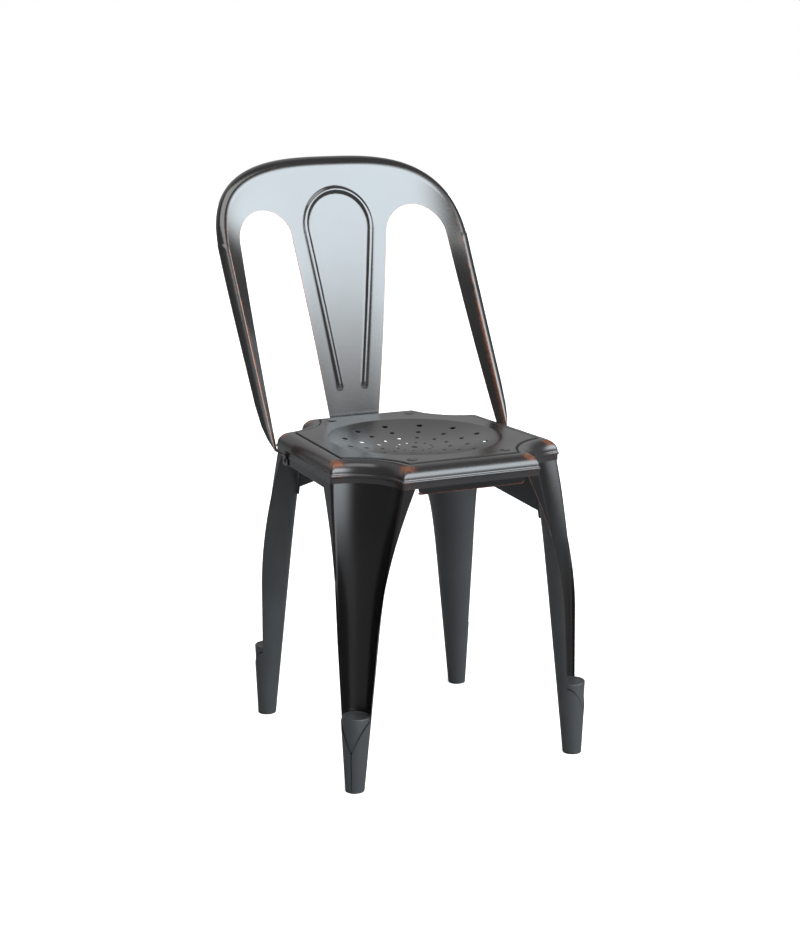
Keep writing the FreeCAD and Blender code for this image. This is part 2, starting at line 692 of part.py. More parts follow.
def back_section(half, height, thickness):
    """A level section of the curved sheet: two parabolas and a straight middle, and the same behind."""
    flat = size("splat_flat")
    front_y = back_middle(height)
    end = Vector(half, back_y(half, height), height)
    slope = back_slope(half, height)
    behind_end = end + Vector(slope, 1, 0).normalize() * thickness
    behind_y = front_y + thickness
    front_poles = [Vector(flat, front_y, height), Vector((flat + half) / 2, front_y, height), end]
    behind_mid = Vector(behind_end.x + (behind_end.y - behind_y) / slope, behind_y, height)
    behind_poles = [Vector(flat, behind_y, height), behind_mid, behind_end]

    def bezier(poles):
        curve = Part.BezierCurve()
        curve.setPoles(poles)
        return curve.toShape()

    def mirrored(poles):
        return [Vector(-p.x, p.y, p.z) for p in poles[::-1]]

    edges = [bezier(mirrored(front_poles)),
             Part.LineSegment(mirrored(front_poles)[2], front_poles[0]).toShape(),
             bezier(front_poles),
             Part.LineSegment(end, behind_end).toShape(),
             bezier(behind_poles[::-1]),
             Part.LineSegment(behind_poles[0], mirrored(behind_poles)[2]).toShape(),
             bezier(mirrored(behind_poles)[::-1]),
             Part.LineSegment(mirrored(behind_poles)[0], mirrored(front_poles)[0]).toShape()]
    return Part.Wire(edges)


def arch_direction(turn):
    """A point of the unit arch and its outward direction, from the front, by polar angle in degrees."""
    angle = math.radians(turn)
    power = size("arch_power")
    across = math.cos(angle)
    up = max(math.sin(angle), 0.0)
    reach = (abs(across) ** power + up ** power) ** (1 / power)
    return across / reach, up / reach


def ridge_at(turn):
    """The line where the rolled edge starts, round the arch, from the front."""
    across, up = arch_direction(turn)
    return across * size("ridge_side"), above_seat("arch_base") + up * size("ridge_rise")


def ridge_below(height):
    """Half width to that line below the arch."""
    share = (height - above_seat("back_reference")) / (above_seat("arch_base") - above_seat("back_reference"))
    return blend(size("ridge_foot"), size("ridge_side"), share)


ARCH_STEP = 15


def front_prism(edges):
    """A prism through the whole depth of the back from an outline drawn at y = 0."""
    face = Part.Face(Part.Wire(edges))
    depth = 4 * size("wrap_span")
    face.translate(Vector(0, -depth / 2, 0))
    return face.extrude(Vector(0, depth, 0))


def back_outline():
    """The outline of the sheet inside its rolled edge."""
    low = bend_z
    arch = [Vector(x, 0, z) for x, z in (ridge_at(turn) for turn in range(0, 181, ARCH_STEP))]
    curve = Part.BSplineCurve()
    curve.interpolate(arch)
    right = Vector(ridge_below(low), 0, low)
    left = Vector(-ridge_below(low), 0, low)
    edges = [Part.LineSegment(right, arch[0]).toShape(),
             curve.toShape(),
             Part.LineSegment(arch[-1], left).toShape(),
             Part.LineSegment(left, right).toShape()]
    return front_prism(edges)


def opening_lines():
    """The places where an opening's straight sides leave its round top, and their lower ends."""
    centre = Vector(size("opening_x"), 0, above_seat("opening_rise"))
    radius = size("opening_radius")
    low = bend_z - 60
    ends = []
    for base_x, sign in ((size("splat_base"), -1), (size("stile_base"), 1)):
        base = Vector(base_x, 0, above_seat("back_reference"))
        span = centre - base
        distance = span.Length
        lean = math.asin(radius / distance)
        along = math.sqrt(distance ** 2 - radius ** 2)
        heading = math.atan2(span.x, span.z) + sign * lean
        way = Vector(math.sin(heading), 0, math.cos(heading))
        ends.append((base + way * along, base + way * ((low - base.z) / way.z)))
    return ends


def opening_prism(side):
    (splat_high, splat_low), (stile_high, stile_low) = opening_lines()
    crown = Vector(size("opening_x"), 0, above_seat("opening_rise") + size("opening_radius"))
    points = [Vector(side * p.x, 0, p.z) for p in (splat_low, splat_high, crown, stile_high, stile_low)]
    edges = [Part.LineSegment(points[0], points[1]).toShape(),
             Part.Arc(points[1], points[2], points[3]).toShape(),
             Part.LineSegment(points[3], points[4]).toShape(),
             Part.LineSegment(points[4], points[0]).toShape()]
    return front_prism(edges)


BACKWARDS = Vector(0, 1, 0)


def roll_section(x, z, out, swell, top_share):
    """The rolled edge's section at a place on the ridge: a quarter turn backwards and a short lip.

    It starts a little inside the sheet's edge, so that the two are one piece. The share runs from
    0 at the side to 1 at the top, where the roll is larger.
    """
    start = on_back(x, z) + BACKWARDS * (gauge / 4)
    away = blend(size("roll_out"), size("roll_top"), top_share) * swell
    behind = blend(size("roll_back"), size("roll_top"), top_share) * swell
    lip = blend(size("roll_lip_side"), size("roll_lip"), top_share) * swell
    half_turn = math.sqrt(0.5)
    root = start - out * gauge * 0.7
    middle = start + out * (away * half_turn) + BACKWARDS * (behind * (1 - half_turn))
    edge = start + out * away + BACKWARDS * behind
    end = edge + BACKWARDS * lip
    inward = out * -gauge
    diagonal = (BACKWARDS - out) * (gauge * half_turn)
    root_in = root + BACKWARDS * gauge
    edges = [Part.Arc(root, middle, edge).toShape(),
             Part.LineSegment(edge, end).toShape(),
             Part.LineSegment(end, end + inward).toShape(),
             Part.LineSegment(end + inward, edge + inward).toShape(),
             Part.Arc(edge + inward, middle + diagonal, root_in).toShape(),
             Part.LineSegment(root_in, root).toShape()]
    return Part.Wire(edges)


def rolled_edge():
    """The rolled edge from one stile's foot over the top to the other's."""
    low = bend_z
    high = above_seat("arch_base")
    stile = [(low + 5, 0.2, 0.0), (low + 16, 0.55, 0.0), (low + 32, 0.85, 0.0), (low + 60, 1.0, 0.0),
             (blend(low, high, 0.5), 1.0, 0.0), (blend(low, high, 0.75), 1.0, 0.15)]
    places = [(ridge_below(z), z, Vector(1, 0, 0), swell, top) for z, swell, top in stile]
    power = size("arch_power")
    for turn in range(0, 91, ARCH_STEP):
        x, z = ridge_at(turn)
        across, up = arch_direction(turn)
        out = Vector(across ** (power - 1) / size("ridge_side"), 0, up ** (power - 1) / size("ridge_rise"))
        places.append((x, z, out.normalize(), 1.0, blend(0.35, 1.0, up ** power)))
    mirrored = [(-x, z, Vector(-out.x, 0, out.z), swell, top) for x, z, out, swell, top in places[-2::-1]]
    sections = [roll_section(*spot) for spot in places + mirrored]
    return Part.makeLoft(sections, True, False)


def rib_path():
    """The rib's middle line from the front: up one side, round the arch and down, with its width."""
    radius = size("rib_radius")
    centre = Vector(0, 0, above_seat("rib_centre"))
    base = Vector(size("rib_base"), 0, above_seat("rib_bottom"))
    span = centre - base
    lean = math.asin(radius / span.Length)
    heading = math.atan2(span.x, span.z) + lean
    way = Vector(math.sin(heading), 0, math.cos(heading))
    along = math.sqrt(span.Length ** 2 - radius ** 2)
    side = [(base + way * (share * along), way) for share in (0.0, 0.012, 0.03, 0.06, 0.35, 0.7, 1.0)]
    swells = [0.3, 0.7, 0.93, 1.0, 1.0, 1.0, 1.0]
    path = [(point, direction, swell) for (point, direction), swell in zip(side, swells)]
    start = -math.degrees(heading)
    for index in range(1, 7):
        angle = math.radians(blend(start, 90, index / 6))
        point = centre + Vector(math.cos(angle), 0, math.sin(angle)) * radius
        path.append((point, Vector(-math.sin(angle), 0, math.cos(angle)), 1.0))
    other = [(Vector(-p.x, 0, p.z), Vector(d.x, 0, -d.z), swell) for p, d, swell in path[-2::-1]]
    return path + other


def rib_shape():
    """The raised rib: a low rounded section carried along its path on the sheet."""
    sections = []
    for point, way, swell in rib_path():
        across = Vector(way.z, 0, -way.x) * (size("rib_width") / 2 * swell)
        left = on_back(point.x - across.x, point.z - across.z) + BACKWARDS * (gauge / 2)
        right = on_back(point.x + across.x, point.z + across.z) + BACKWARDS * (gauge / 2)
        crown = on_back(point.x, point.z) - BACKWARDS * (size("rib_height") * swell)
        sections.append(Part.Wire([Part.Arc(left, crown, right).toShape(),
                                   Part.LineSegment(right, left).toShape()]))
    return Part.makeLoft(sections, True, False)


def side_face_x(offset, y):
    """Where the seat's side line stands at an offset from the panel's edge, behind the middle."""
    taper = size("side_taper")
    return size("panel_side") + offset * math.hypot(1, taper) - taper * y


def foot_levels():
    """Heights and offsets of a lower end's inner face: a joggle under the rim, then flat on the apron."""
    on_apron = size("rim_width") - gauge
    return [(skirt_z + size("joggle_rise"), size("rim_width") + size("joggle_clear")),
            (skirt_z, size("rim_width") + size("fit_gap")),
            (skirt_z - size("joggle_drop"), on_apron),
            (bolt_z - size("bolt_head") / 2 - size("foot_margin"), on_apron)]


def slab(points, behind):
    return Part.makePolygon(points + [p + b for p, b in zip(points[::-1], behind[::-1])] + points[:1])


def stile_foot(side):
    """A stile's lower end: it bends in under the rim and lies flat against the side apron."""
    low = bend_z
    (_, _), (stile_high, stile_low) = opening_lines()
    share = (low - stile_low.z) / (stile_high.z - stile_low.z)
    inner = on_back(blend(stile_low.x, stile_high.x, share), low)
    outer = on_back(ridge_below(low), low)
    sheet = [Vector(back_slope(p.x, low), 1, 0).normalize() * gauge for p in (inner, outer)]
    half = (inner - outer).Length / 2 + 1
    sections = [slab([inner, outer], sheet)]
    for height, offset in foot_levels():
        ends = [Vector(side_face_x(offset, y), y, height)
                for y in (size("stile_bolt_y") + half, size("stile_bolt_y") - half)]
        sections.append(slab([e + Vector(gauge, 0, 0) for e in ends], [Vector(-gauge, 0, 0)] * 2))
    if side < 0:
        return Part.makeLoft(sections, True, True).mirror(Vector(0, 0, 0), Vector(1, 0, 0))
    return Part.makeLoft(sections, True, True)


def splat_foot():
    """The splat's lower end: it bends in under the rim and lies flat against the rear apron."""
    low = bend_z
    (splat_high, splat_low), (_, _) = opening_lines()
    half = blend(splat_low.x, splat_high.x, (low - splat_low.z) / (splat_high.z - splat_low.z))
    levels = [(low, back_y(half, low) - size("panel_rear"))] + foot_levels()
    sections = []
    for height, offset in levels:
        ends = [Vector(x, size("panel_rear") + offset + gauge, height) for x in (-half, half)]
        sections.append(slab(ends, [Vector(0, -gauge, 0)] * 2))
    return Part.makeLoft(sections, True, True)


def back_shell_shape():
    half = size("ridge_side") + 6
    low = bend_z
    high = above_seat("arch_base") + size("ridge_rise") + 4
    levels = [blend(low, high, share) for share in (0, 0.25, 0.5, 0.75, 1)]
    sheet_solid = Part.makeLoft([back_section(half, z, gauge) for z in levels], True, False)
    shell = sheet_solid.common(back_outline())
    shell = shell.cut([opening_prism(-1), opening_prism(1)])
    shell = shell.fuse([rolled_edge(), rib_shape(), stile_foot(-1), stile_foot(1), splat_foot()])
    return single_solid(shell.cut(bolt_drills()))


# Bolts through the aprons

def bolt_places():
    """Where the bolts stand: a point on the apron's outer face and the way out, stiles then splat."""
    face = size("rim_width") - gauge
    y = size("stile_bolt_y")
    places = []
    for side in (-1, 1):
        point = Vector(side * side_face_x(face, y), y, bolt_z)
        places.append((point, Vector(side, size("side_taper"), 0)))
    for side in (-1, 1):
        point = Vector(side * size("splat_bolt_x"), size("panel_rear") + face, bolt_z)
        places.append((point, Vector(0, 1, 0)))
    return [(point, way.normalize()) for point, way in places]


def bolt_drills():
    reach = 6 * gauge
    drill = Part.makeCylinder(size("bolt_shank") / 2 + size("fit_gap"), 2 * reach, Vector(0, 0, -reach))
    return [aimed(drill, point, way) for point, way in bolt_places()]


def bolts_shape(places):
    length = gauge + size("apron_gauge") + size("nut_height") + 1
    pin = domed_pin(size("bolt_head"), size("bolt_rise"), size("bolt_shank"), length)
    return Part.makeCompound([aimed(pin, point + way * gauge, way) for point, way in places])


def nuts_shape(places):
    nut = hex_nut(size("nut_width"), size("nut_height"), size("bolt_shank") + 2 * size("fit_gap"))
    return Part.makeCompound([aimed(nut, point - way * size("apron_gauge"), way * -1)
                              for point, way in places])


# The assembly

SIDES = (("left", -1), ("right", 1))
ENDS = (("front", False), ("rear", True))

pieces = {"seat_pan": feature("seat_pan", seat_pan_shape()),
          "back_shell": feature("back_shell", back_shell_shape())}
for end_name, rear in ENDS:
    for side_name, side in SIDES:
        corner = "%s_%s" % (end_name, side_name)
        pieces["leg_" + corner] = feature("leg_" + corner, leg_shape(side, rear))
pieces["cross_brace_left"] = feature("cross_brace_left", brace_shape(-1))
pieces["cross_brace_right"] = feature("cross_brace_right", brace_shape(1))
pieces["seat_rivets"] = feature("seat_rivets", seat_rivets_shape())
stile_places = bolt_places()[:2]
splat_places = bolt_places()[2:]
pieces["stile_bolts"] = feature("stile_bolts", bolts_shape(stile_places))
pieces["stile_nuts"] = feature("stile_nuts", nuts_shape(stile_places))
pieces["splat_bolts"] = feature("splat_bolts", bolts_shape(splat_places))
pieces["splat_nuts"] = feature("splat_nuts", nuts_shape(splat_places))

# The frame's origin is on the floor under the middle of the chair's depth.
front_most = pieces["leg_front_right"].Shape.optimalBoundingBox().YMin
rear_most = pieces["back_shell"].Shape.optimalBoundingBox().YMax
sheet.set("A%d" % (len(SIZES) + 1), "frame_shift")
sheet.set("B%d" % (len(SIZES) + 1), "%.3f" % (-(front_most + rear_most) / 2))
sheet.setAlias("B%d" % (len(SIZES) + 1), "frame_shift")
doc.recompute()
for piece in pieces.values():
    piece.setExpression("Placement.Base.y", "Sizes.frame_shift")


def stand_at(body, side, rear):
    """Bind a body's place to a foot's middle on the floor."""
    name = "rear" if rear else "front"
    sign = "" if rear else "-"
    body.setExpression("Placement.Base.x", "%d * Sizes.foot_%s_x" % (side, name))
    body.setExpression("Placement.Base.y", "%sSizes.foot_%s_y + Sizes.frame_shift" % (sign, name))


for end_name, rear in ENDS:
    for side_name, side in SIDES:
        corner = "%s_%s" % (end_name, side_name)
        glide = glide_body("glide_" + corner)
        stand_at(glide, side, rear)
        plug = plug_body("foot_plug_" + corner)
        uphill = Vector(-side * size("leg_lean"), (-1 if rear else 1) * size("leg_rake"), 1)
        plug.Placement.Rotation = Rotation(Vector(0, 0, 1), uphill)
        stand_at(plug, side, rear)
        pieces["glide_" + corner] = glide
        pieces["foot_plug_" + corner] = plug


def drilled(label, body, shafts):
    """A body cut by round shafts, each given as a point, a direction and a diameter's alias."""
    current = body
    for index, (point, way, alias) in enumerate(shafts):
        tool = doc.addObject("Part::Cylinder", "%s_drill_%d" % (label, index))
        tool.setExpression("Radius", "Sizes.%s / 2 + Sizes.fit_gap" % alias)
        tool.Height = 12 * gauge
        lifted = point - way * (tool.Height.Value / 2) + Vector(0, size("frame_shift"), 0)
        tool.Placement = Placement(lifted, Rotation(Vector(0, 0, 1), way))
        cut = doc.addObject("Part::Cut", "%s_cut_%d" % (label, index))
        cut.Base = current
        cut.Tool = tool
        current = cut
    current.Label = label
    return current


face_offset = "Sizes.rim_width - Sizes.sheet_gauge"
for end_name, rear in ENDS:
    body = apron_body("apron_body_" + end_name, "apron_end_half", "apron_%s_drop" % end_name)
    sign = "" if rear else "-"
    body.setExpression("Placement.Base.y",
                       "%s(Sizes.panel_%s + %s) + Sizes.frame_shift" % (sign, end_name, face_offset))
    body.Placement.Rotation = Rotation(Vector(0, 0, 1), 0 if rear else 180)
    shafts = [(Vector(x, y, size("seat_top") - 5), Vector(0, 0, 1), "rivet_shank")
              for x, y, at_rear in rivet_places() if at_rear == rear]
    if rear:
        shafts += [(point, way, "bolt_shank") for point, way in splat_places]
    pieces["apron_" + end_name] = drilled("apron_" + end_name, body, shafts)
for side_name, side in SIDES:
    body = apron_body("apron_body_" + side_name, "apron_side_half", "apron_rear_drop")
    turn = math.degrees(math.atan(size("side_taper")))
    body.Placement.Rotation = Rotation(Vector(0, 0, 1), -side * (90 - turn))
    stretch = "sqrt(1 + Sizes.side_taper ^ 2)"
    come_in = "Sizes.side_taper * Sizes.apron_side_shift"
    body.setExpression("Placement.Base.x", "%d * (Sizes.panel_side + (%s) * %s - %s)"
                       % (side, face_offset, stretch, come_in))
    body.setExpression("Placement.Base.y", "Sizes.apron_side_shift + Sizes.frame_shift")
    point, way = stile_places[0 if side < 0 else 1]
    pieces["apron_" + side_name] = drilled("apron_" + side_name, body, [(point, way, "bolt_shank")])

doc.recompute()
for item in doc.Objects:
    if "Invalid" in item.State or "Error" in item.State:
        raise RuntimeError("%s did not compute: %s" % (item.Label, item.State))
for label, piece in pieces.items():
    if piece.Shape.isNull() or not piece.Shape.isValid():
        raise RuntimeError("%s has no sound shape" % label)

os.makedirs("parts", exist_ok=True)
for label, piece in pieces.items():
    piece.Shape.exportStep("parts/%s.step" % label)
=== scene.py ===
import math

import bmesh
import bpy
import numpy as np
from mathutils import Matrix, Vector


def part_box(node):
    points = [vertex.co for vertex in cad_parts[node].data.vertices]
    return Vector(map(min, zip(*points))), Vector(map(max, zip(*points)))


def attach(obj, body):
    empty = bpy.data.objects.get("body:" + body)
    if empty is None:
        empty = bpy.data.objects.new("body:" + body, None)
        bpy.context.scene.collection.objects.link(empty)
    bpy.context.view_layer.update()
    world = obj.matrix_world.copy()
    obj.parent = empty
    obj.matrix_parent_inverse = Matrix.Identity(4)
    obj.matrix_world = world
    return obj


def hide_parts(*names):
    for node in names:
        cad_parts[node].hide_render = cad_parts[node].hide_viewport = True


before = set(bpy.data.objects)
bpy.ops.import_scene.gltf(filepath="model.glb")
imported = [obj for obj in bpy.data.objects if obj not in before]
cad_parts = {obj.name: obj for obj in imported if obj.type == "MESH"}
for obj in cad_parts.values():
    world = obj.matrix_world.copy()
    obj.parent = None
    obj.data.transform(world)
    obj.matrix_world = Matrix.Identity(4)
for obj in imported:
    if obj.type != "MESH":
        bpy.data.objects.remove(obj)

bl_info = {
    "name": "Pressed Metal Bistro Chair",
    "version": (1, 0, 0),
    "blender": (4, 5, 0),
    "location": "3D View > Sidebar > Bistro Chair",
    "description": "Builds a pressed steel chair in an aged bronze finish on its measured frame",
    "category": "Object",
}

# Lengths below are in millimetres and heights start at the floor. The seat faces -Y. Shapes are
# laid out about the middle of the seat's dish and then moved back into the frame.
MM = 0.001
FOOT_FRONT = (174.0, 168.9)
FOOT_REAR = (164.5, 180.8)

glide_low, glide_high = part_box("glide_front_left")
DISH_Y = (glide_low.y + glide_high.y) / 2 / MM + FOOT_FRONT[1]

# The seat pan: its sheet, panel, rolled rim, bead, dish and drain holes
SHEET = 1.2
SEAT_TOP = 455.0
PANEL_STEP = 1.0
RIM_TOP = SEAT_TOP - PANEL_STEP
SKIRT_LOW = RIM_TOP - 30.0
PANEL_FRONT = 158.8
PANEL_REAR = 170.8
PANEL_SIDE = 149.9
SIDE_TAPER = 0.055
CORNER_RADIUS = 96.0
FRONT_CORNER = (178.5, 178.7)
REAR_CORNER = (168.8, 193.2)
GROOVE_MIDDLE = 0.6
GROOVE_DEPTH = 2.2
RIM_WIDTH = 23.4
RIM_ROLL = 17.5
BEAD_OUT = 1.4
BEAD_MIDDLE = RIM_TOP - 20.1
BEAD_HALF = 2.3
DISH_RADIUS = 126.0
DISH_DEPTH = 16.4
DISH_SOFTENING = 0.35
HOLE_RINGS = 4
HOLES_PER_RING = 12
RING_PITCH = 25.1
INNER_RING = 26.2
INNER_HOLE = 3.6
HOLE_GROWTH = 1.45
HOLE_SINK = 0.25
CENTRE_HOLE = 7.6
RIVETS = ((72.1, -140.2), (64.6, 151.8))

# The legs and what stands in their feet
LEG_LEAN = (0.028, 0.012)
FOOT_RADIUS = 13.7
LEG_CONE = 0.0735
GLIDE_RIM = 3.0
NOTCH = (58.0, 108.0)
NOTCH_HALF_WAY = 80.0
FLARE_START = 205.0
LEG_INSET = 1.8
EDGE_ANGLE = math.radians(10)
EAR_END = 17.0
EAR_SIDE_FRONT = 35.0
EAR_SIDE_REAR = 19.0
FLARE_POWERS = ((2.1, 2.9), (2.1, 2.9), (8.0, 8.0), (2.1, 2.9), (2.1, 2.9))
FOOT_SEAM = 0.1
SLIT_HALF_ANGLE = 2.6
LIP_WALL = 1.0
PLUG_WALL_GAP = 1.5
PLUG_LOW = 14.3
PLUG_RISE = 1.5
PLUG_ROUND = 1.6
GLIDE_STEM = 14.0

# The back: its surface, outline, openings, rib, rolled edge and feet
BACK_BEHIND = 213.8
BACK_LEAN = 0.16
BACK_SWEEP = 0.00015
WRAP_BASE = 115.0
WRAP_FALL = 0.395
WRAP_EASE = 0.00022
WRAP_SPAN = 150.0
FLAT_HALF = 30.0
BACK_REFERENCE = SEAT_TOP + 5.0
ARCH_BASE = SEAT_TOP + 235.0
RIDGE_SIDE = 193.6
RIDGE_FOOT = 190.5
RIDGE_RISE = 130.0
ARCH_POWER = 3.0
SHEET_COLUMNS = 34
FOOT_BEND = SEAT_TOP - 18.0
OPENING = (125.3, SEAT_TOP + 260.0)
OPENING_RADIUS = 46.5
SPLAT_BASE = 43.2
STILE_BASE = 180.8
RIB_CENTRE = (0.0, SEAT_TOP + 279.0)
RIB_RADIUS = 54.0
RIB_FOOT = (21.0, SEAT_TOP + 40.0)
RIB_HALF_WIDTH = 6.3
RIB_HEIGHT = 2.8
ROLL_OUT = (11.5, 16.5)
ROLL_BEHIND = (7.5, 16.5)
ROLL_LIP = (1.0, 5.0)
STILE_FOOT_Y = 82.0
FOOT_STEP = SEAT_TOP - 26.0
FOOT_LOW = 411.1
# The joggle under the rim, down to the flat on the apron: height, and distance off that flat
JOGGLE = ((FOOT_STEP + 4.0, 5.3), (FOOT_STEP, 4.0), (FOOT_STEP - 2.0, 3.4), (FOOT_STEP - 3.6, 2.5),
          (SKIRT_LOW, 1.5), (SKIRT_LOW - 0.6, 0.7), (SKIRT_LOW - 1.4, 0.1), (SKIRT_LOW - 3.0, 0.0),
          (SKIRT_LOW - 8.0, 0.0), (FOOT_LOW, 0.0))
# How much of the rolled edge's full size there is at each height above the feet's bend
ROLL_SWELL = ((0.0, 0.04), (5.0, 0.2), (16.0, 0.55), (32.0, 0.85), (60.0, 1.0))
ROLL_GROWTH_BELOW_ARCH = 0.35
WEAR_FADE = (730.0, 800.0)

# The aprons: how far each hangs below the skirt, half its length, and which way it faces
APRON_GAUGE = 1.5
APRON_DROP = {"front": 9.5, "rear": 12.5, "left": 12.5, "right": 12.5}
APRON_HALF = {"front": 79.0, "rear": 79.0, "left": 78.0, "right": 78.0}
OUTSIDE = {"front": (0, -1, 0), "rear": (0, 1, 0), "left": (-1, 0, 0), "right": (1, 0, 0)}
APRON_SLANT = 4.0
APRON_SIDE_SHIFT = 11.0
APRON_CURL = 9.0
APRON_BEND = 2.2
APRON_WEB_RISE = 10.0
APRON_SHELF_START = 19.6
APRON_SHELF_END = 49.2

# The camera that took the photograph: focal length in its pixels, heading, tilt and place
PHOTO_LONG_SIDE = 950
PHOTO_FOCAL = 1984.874
CAMERA_TURN = math.radians(25.611556)
CAMERA_TILT = math.radians(13.12086)
CAMERA_PLACE = (-1234.718, -2526.524, 1052.372)
SENSOR = 36.0

# The studio's soft window in front and glow behind, as limits in degrees where each starts, is
# full, starts to fall and ends: turned from the front to the chair's right, and above level.
# The glow runs round behind the chair, so its last two turned limits lie past half a turn.
WINDOW_TURN = (-26.0, 4.0, 50.0, 76.0)
WINDOW_RISE = (2.0, 19.0, 34.0, 50.0)
GLOW_TURN = (110.0, 140.0, 200.0, 201.0)
GLOW_RISE = (2.0, 16.0, 60.0, 80.0)
WINDOW_TINT = (0.84, 0.94, 1.0, 1.0)
WHITE = (1.0, 1.0, 1.0, 1.0)
FLOOR_TINT = (0.84, 0.84, 0.84, 1.0)
FLOOR_IN_GLOSS = (0.30, 0.30, 0.31, 1.0)
FLOOR_GLOW = 0.72
FLOOR_REACH = 8.0
LAMP_TINT = (1.0, 0.99, 0.97)

# Noise on the finish: scale, detail and roughness. A ramp goes from its first value to its second.
COARSE_NOISE = (95.0, 5.0, 0.65)
FINE_NOISE = (420.0, 3.0, 0.6)
CLOUD_NOISE = (9.0, 5.0, 0.55)
PEEL_NOISE = (260.0, 2.0, 0.5)
RUBBER_NOISE = (600.0, 3.0, 0.6)
BARE_RAMP = (0.28, 0.62)
HALO_RAMP = (0.12, 0.50)
# This ramp turns negative wear values into a mask of painted shade.
PAINTED_SHADE_RAMP = (0.25, 0.75)
CLOUD_RAMP = (0.32, 0.70)
# Painted shade: near-black colours laid where the wear value is negative, in the panel's groove, round the
# holes and rivets, along the feet's notches and on the plugs inside the feet.
PAINTED_SHADE = (0.003, 0.003, 0.003, 1.0)
SATIN_PAINTED_SHADE = (0.002, 0.002, 0.002, 1.0)
RUBBER_DARK = (0.012, 0.012, 0.013, 1.0)
RUBBER_PALE = (0.035, 0.034, 0.034, 1.0)

# The four corners: the end of their pieces' names, the side, and whether they are at the rear
CORNERS = [(end + "_" + name, side, rear) for end, rear in (("front", False), ("rear", True))
           for name, side in (("left", -1), ("right", 1))]


# Arrays and meshes

def rows_of(*parts):
    """Stack coordinates, each a number or an array, into points of three along the last axis."""
    return np.stack(np.broadcast_arrays(*parts), axis=-1).astype(float)


def ease(share):
    """A share of 0 to 1 that starts and ends gently: 3 s squared less 2 s cubed."""
    share = np.clip(share, 0.0, 1.0)
    return share * share * (3 - 2 * share)


def ease_between(value, low, high):
    """That share for a value on its way from low to high."""
    return ease((value - low) / (high - low))


def fade(distance, reach):
    """1 at no distance and less with more: e to the power of minus the distance over the reach."""
    return np.exp(-distance / reach)


def hump(value, middle, width, power=2):
    """1 at the middle and less to both sides: e to minus a power of the distance over the width."""
    return np.exp(-((value - middle) / width) ** power)


def points_at(places, marks, points):
    """Flat points at places along a line whose own points stand at marks."""
    return np.stack([np.interp(places, marks, points[:, axis]) for axis in (0, 1)], axis=1)


def unit(vector):
    """The vector at length 1."""
    return vector / np.linalg.norm(vector, axis=-1, keepdims=True)


def circle_points(angle):
    """Points of the unit circle in the plane."""
    return np.stack([np.cos(angle), np.sin(angle)], axis=-1)


def polar_angle(vector):
    """The angle of a flat vector, counted from X."""
    return math.atan2(vector[1], vector[0])


def dense_ends(count, pull=0.85):
    """Shares of 0 to 1, closer together at both ends: s less pull times sin(2 pi s) over 2 pi."""
    share = np.linspace(0, 1, count, endpoint=False)
    return share - pull * np.sin(2 * np.pi * share) / (2 * np.pi)


def grid_faces(shape, start, wrap):
    """Four-cornered faces of a grid of points, rows by columns, joined round the rows if wrapped."""
    rows, columns = shape
    index = start + np.arange(rows * columns).reshape(rows, columns)
    if wrap:
        index = np.concatenate([index, index[:, :1]], axis=1)
    corners = [index[:-1, :-1], index[:-1, 1:], index[1:, 1:], index[1:, :-1]]
    return np.stack([c.ravel() for c in corners], axis=1)


def new_piece(name, grids, stands_for, thickness=0.0, facing=None, split=55.0, weld=0.02,
              two_sided=False):
    """Make one piece from grids of points with a wear value each, and set it in the frame.

    Wear runs from 1, rubbed bare, over 0, sound, to -1, which is painted shade: near black in hollows and
    hidden parts.

    A grid is (points, wear, wrap). Grids are welded where they meet. A sheet gets its thickness
    behind the face that was drawn, and facing is a rough direction of that face's outside.
    """
    points, wear_and_shade, faces, start = [], [], [], 0
    for grid, wear, wrap in grids:
        points.append(grid.reshape(-1, 3))
        wear_and_shade.append(np.broadcast_to(wear, grid.shape[:2]).reshape(-1))
        faces.append(grid_faces(grid.shape[:2], start, wrap))
        start += grid.shape[0] * grid.shape[1]
    place = (np.concatenate(points) + np.array([0.0, DISH_Y, 0.0])) * MM
    quads = np.concatenate(faces)
    mesh = bpy.data.meshes.new(name)
    mesh.vertices.add(len(place))
    mesh.vertices.foreach_set("co", place.astype(np.float32).ravel())
    mesh.loops.add(quads.size)
    mesh.loops.foreach_set("vertex_index", quads.astype(np.int32).ravel())
    mesh.polygons.add(len(quads))
    mesh.polygons.foreach_set("loop_start", np.arange(0, quads.size, 4, dtype=np.int32))
    mesh.update(calc_edges=True)
    # The wear attribute holds rubbed wear above 0 and painted shade below 0.
    attribute = mesh.attributes.new("wear", "FLOAT", "POINT")
    attribute.data.foreach_set("value", np.clip(np.concatenate(wear_and_shade), -1, 1).astype(np.float32))
    work = bmesh.new()
    work.from_mesh(mesh)
    bmesh.ops.remove_doubles(work, verts=work.verts, dist=weld * MM)
    bmesh.ops.dissolve_degenerate(work, dist=weld * MM / 4, edges=work.edges)
    bmesh.ops.recalc_face_normals(work, faces=work.faces)
    if facing is not None:
        aim = Vector(facing)
        if sum(f.normal.dot(aim) * f.calc_area() for f in work.faces) < 0:
            bmesh.ops.reverse_faces(work, faces=work.faces)
    work.to_mesh(mesh)
    work.free()
    piece = add_object(name, mesh)
    if thickness:
        shell = piece.modifiers.new("thickness", "SOLIDIFY")
        shell.thickness = thickness * MM
        shell.offset = -1
        shell.use_even_offset = True
        shell.thickness_clamp = 1.0
        if two_sided:
            mesh.materials.append(None)
            mesh.materials.append(None)
            shell.material_offset = 1
        graph = bpy.context.evaluated_depsgraph_get()
        solid = bpy.data.meshes.new_from_object(piece.evaluated_get(graph))
        piece.modifiers.clear()
        piece.data = solid
    piece.data.shade_smooth()
    piece.data.set_sharp_from_angle(angle=math.radians(split))
    piece.data.name = name
    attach(piece, "root")
    if stands_for:
        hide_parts(*stands_for)
    return piece


def add_object(name, data):
    """Put an object with this mesh, lamp or camera in the scene."""
    thing = bpy.data.objects.new(name, data)
    bpy.context.scene.collection.objects.link(thing)
    return thing


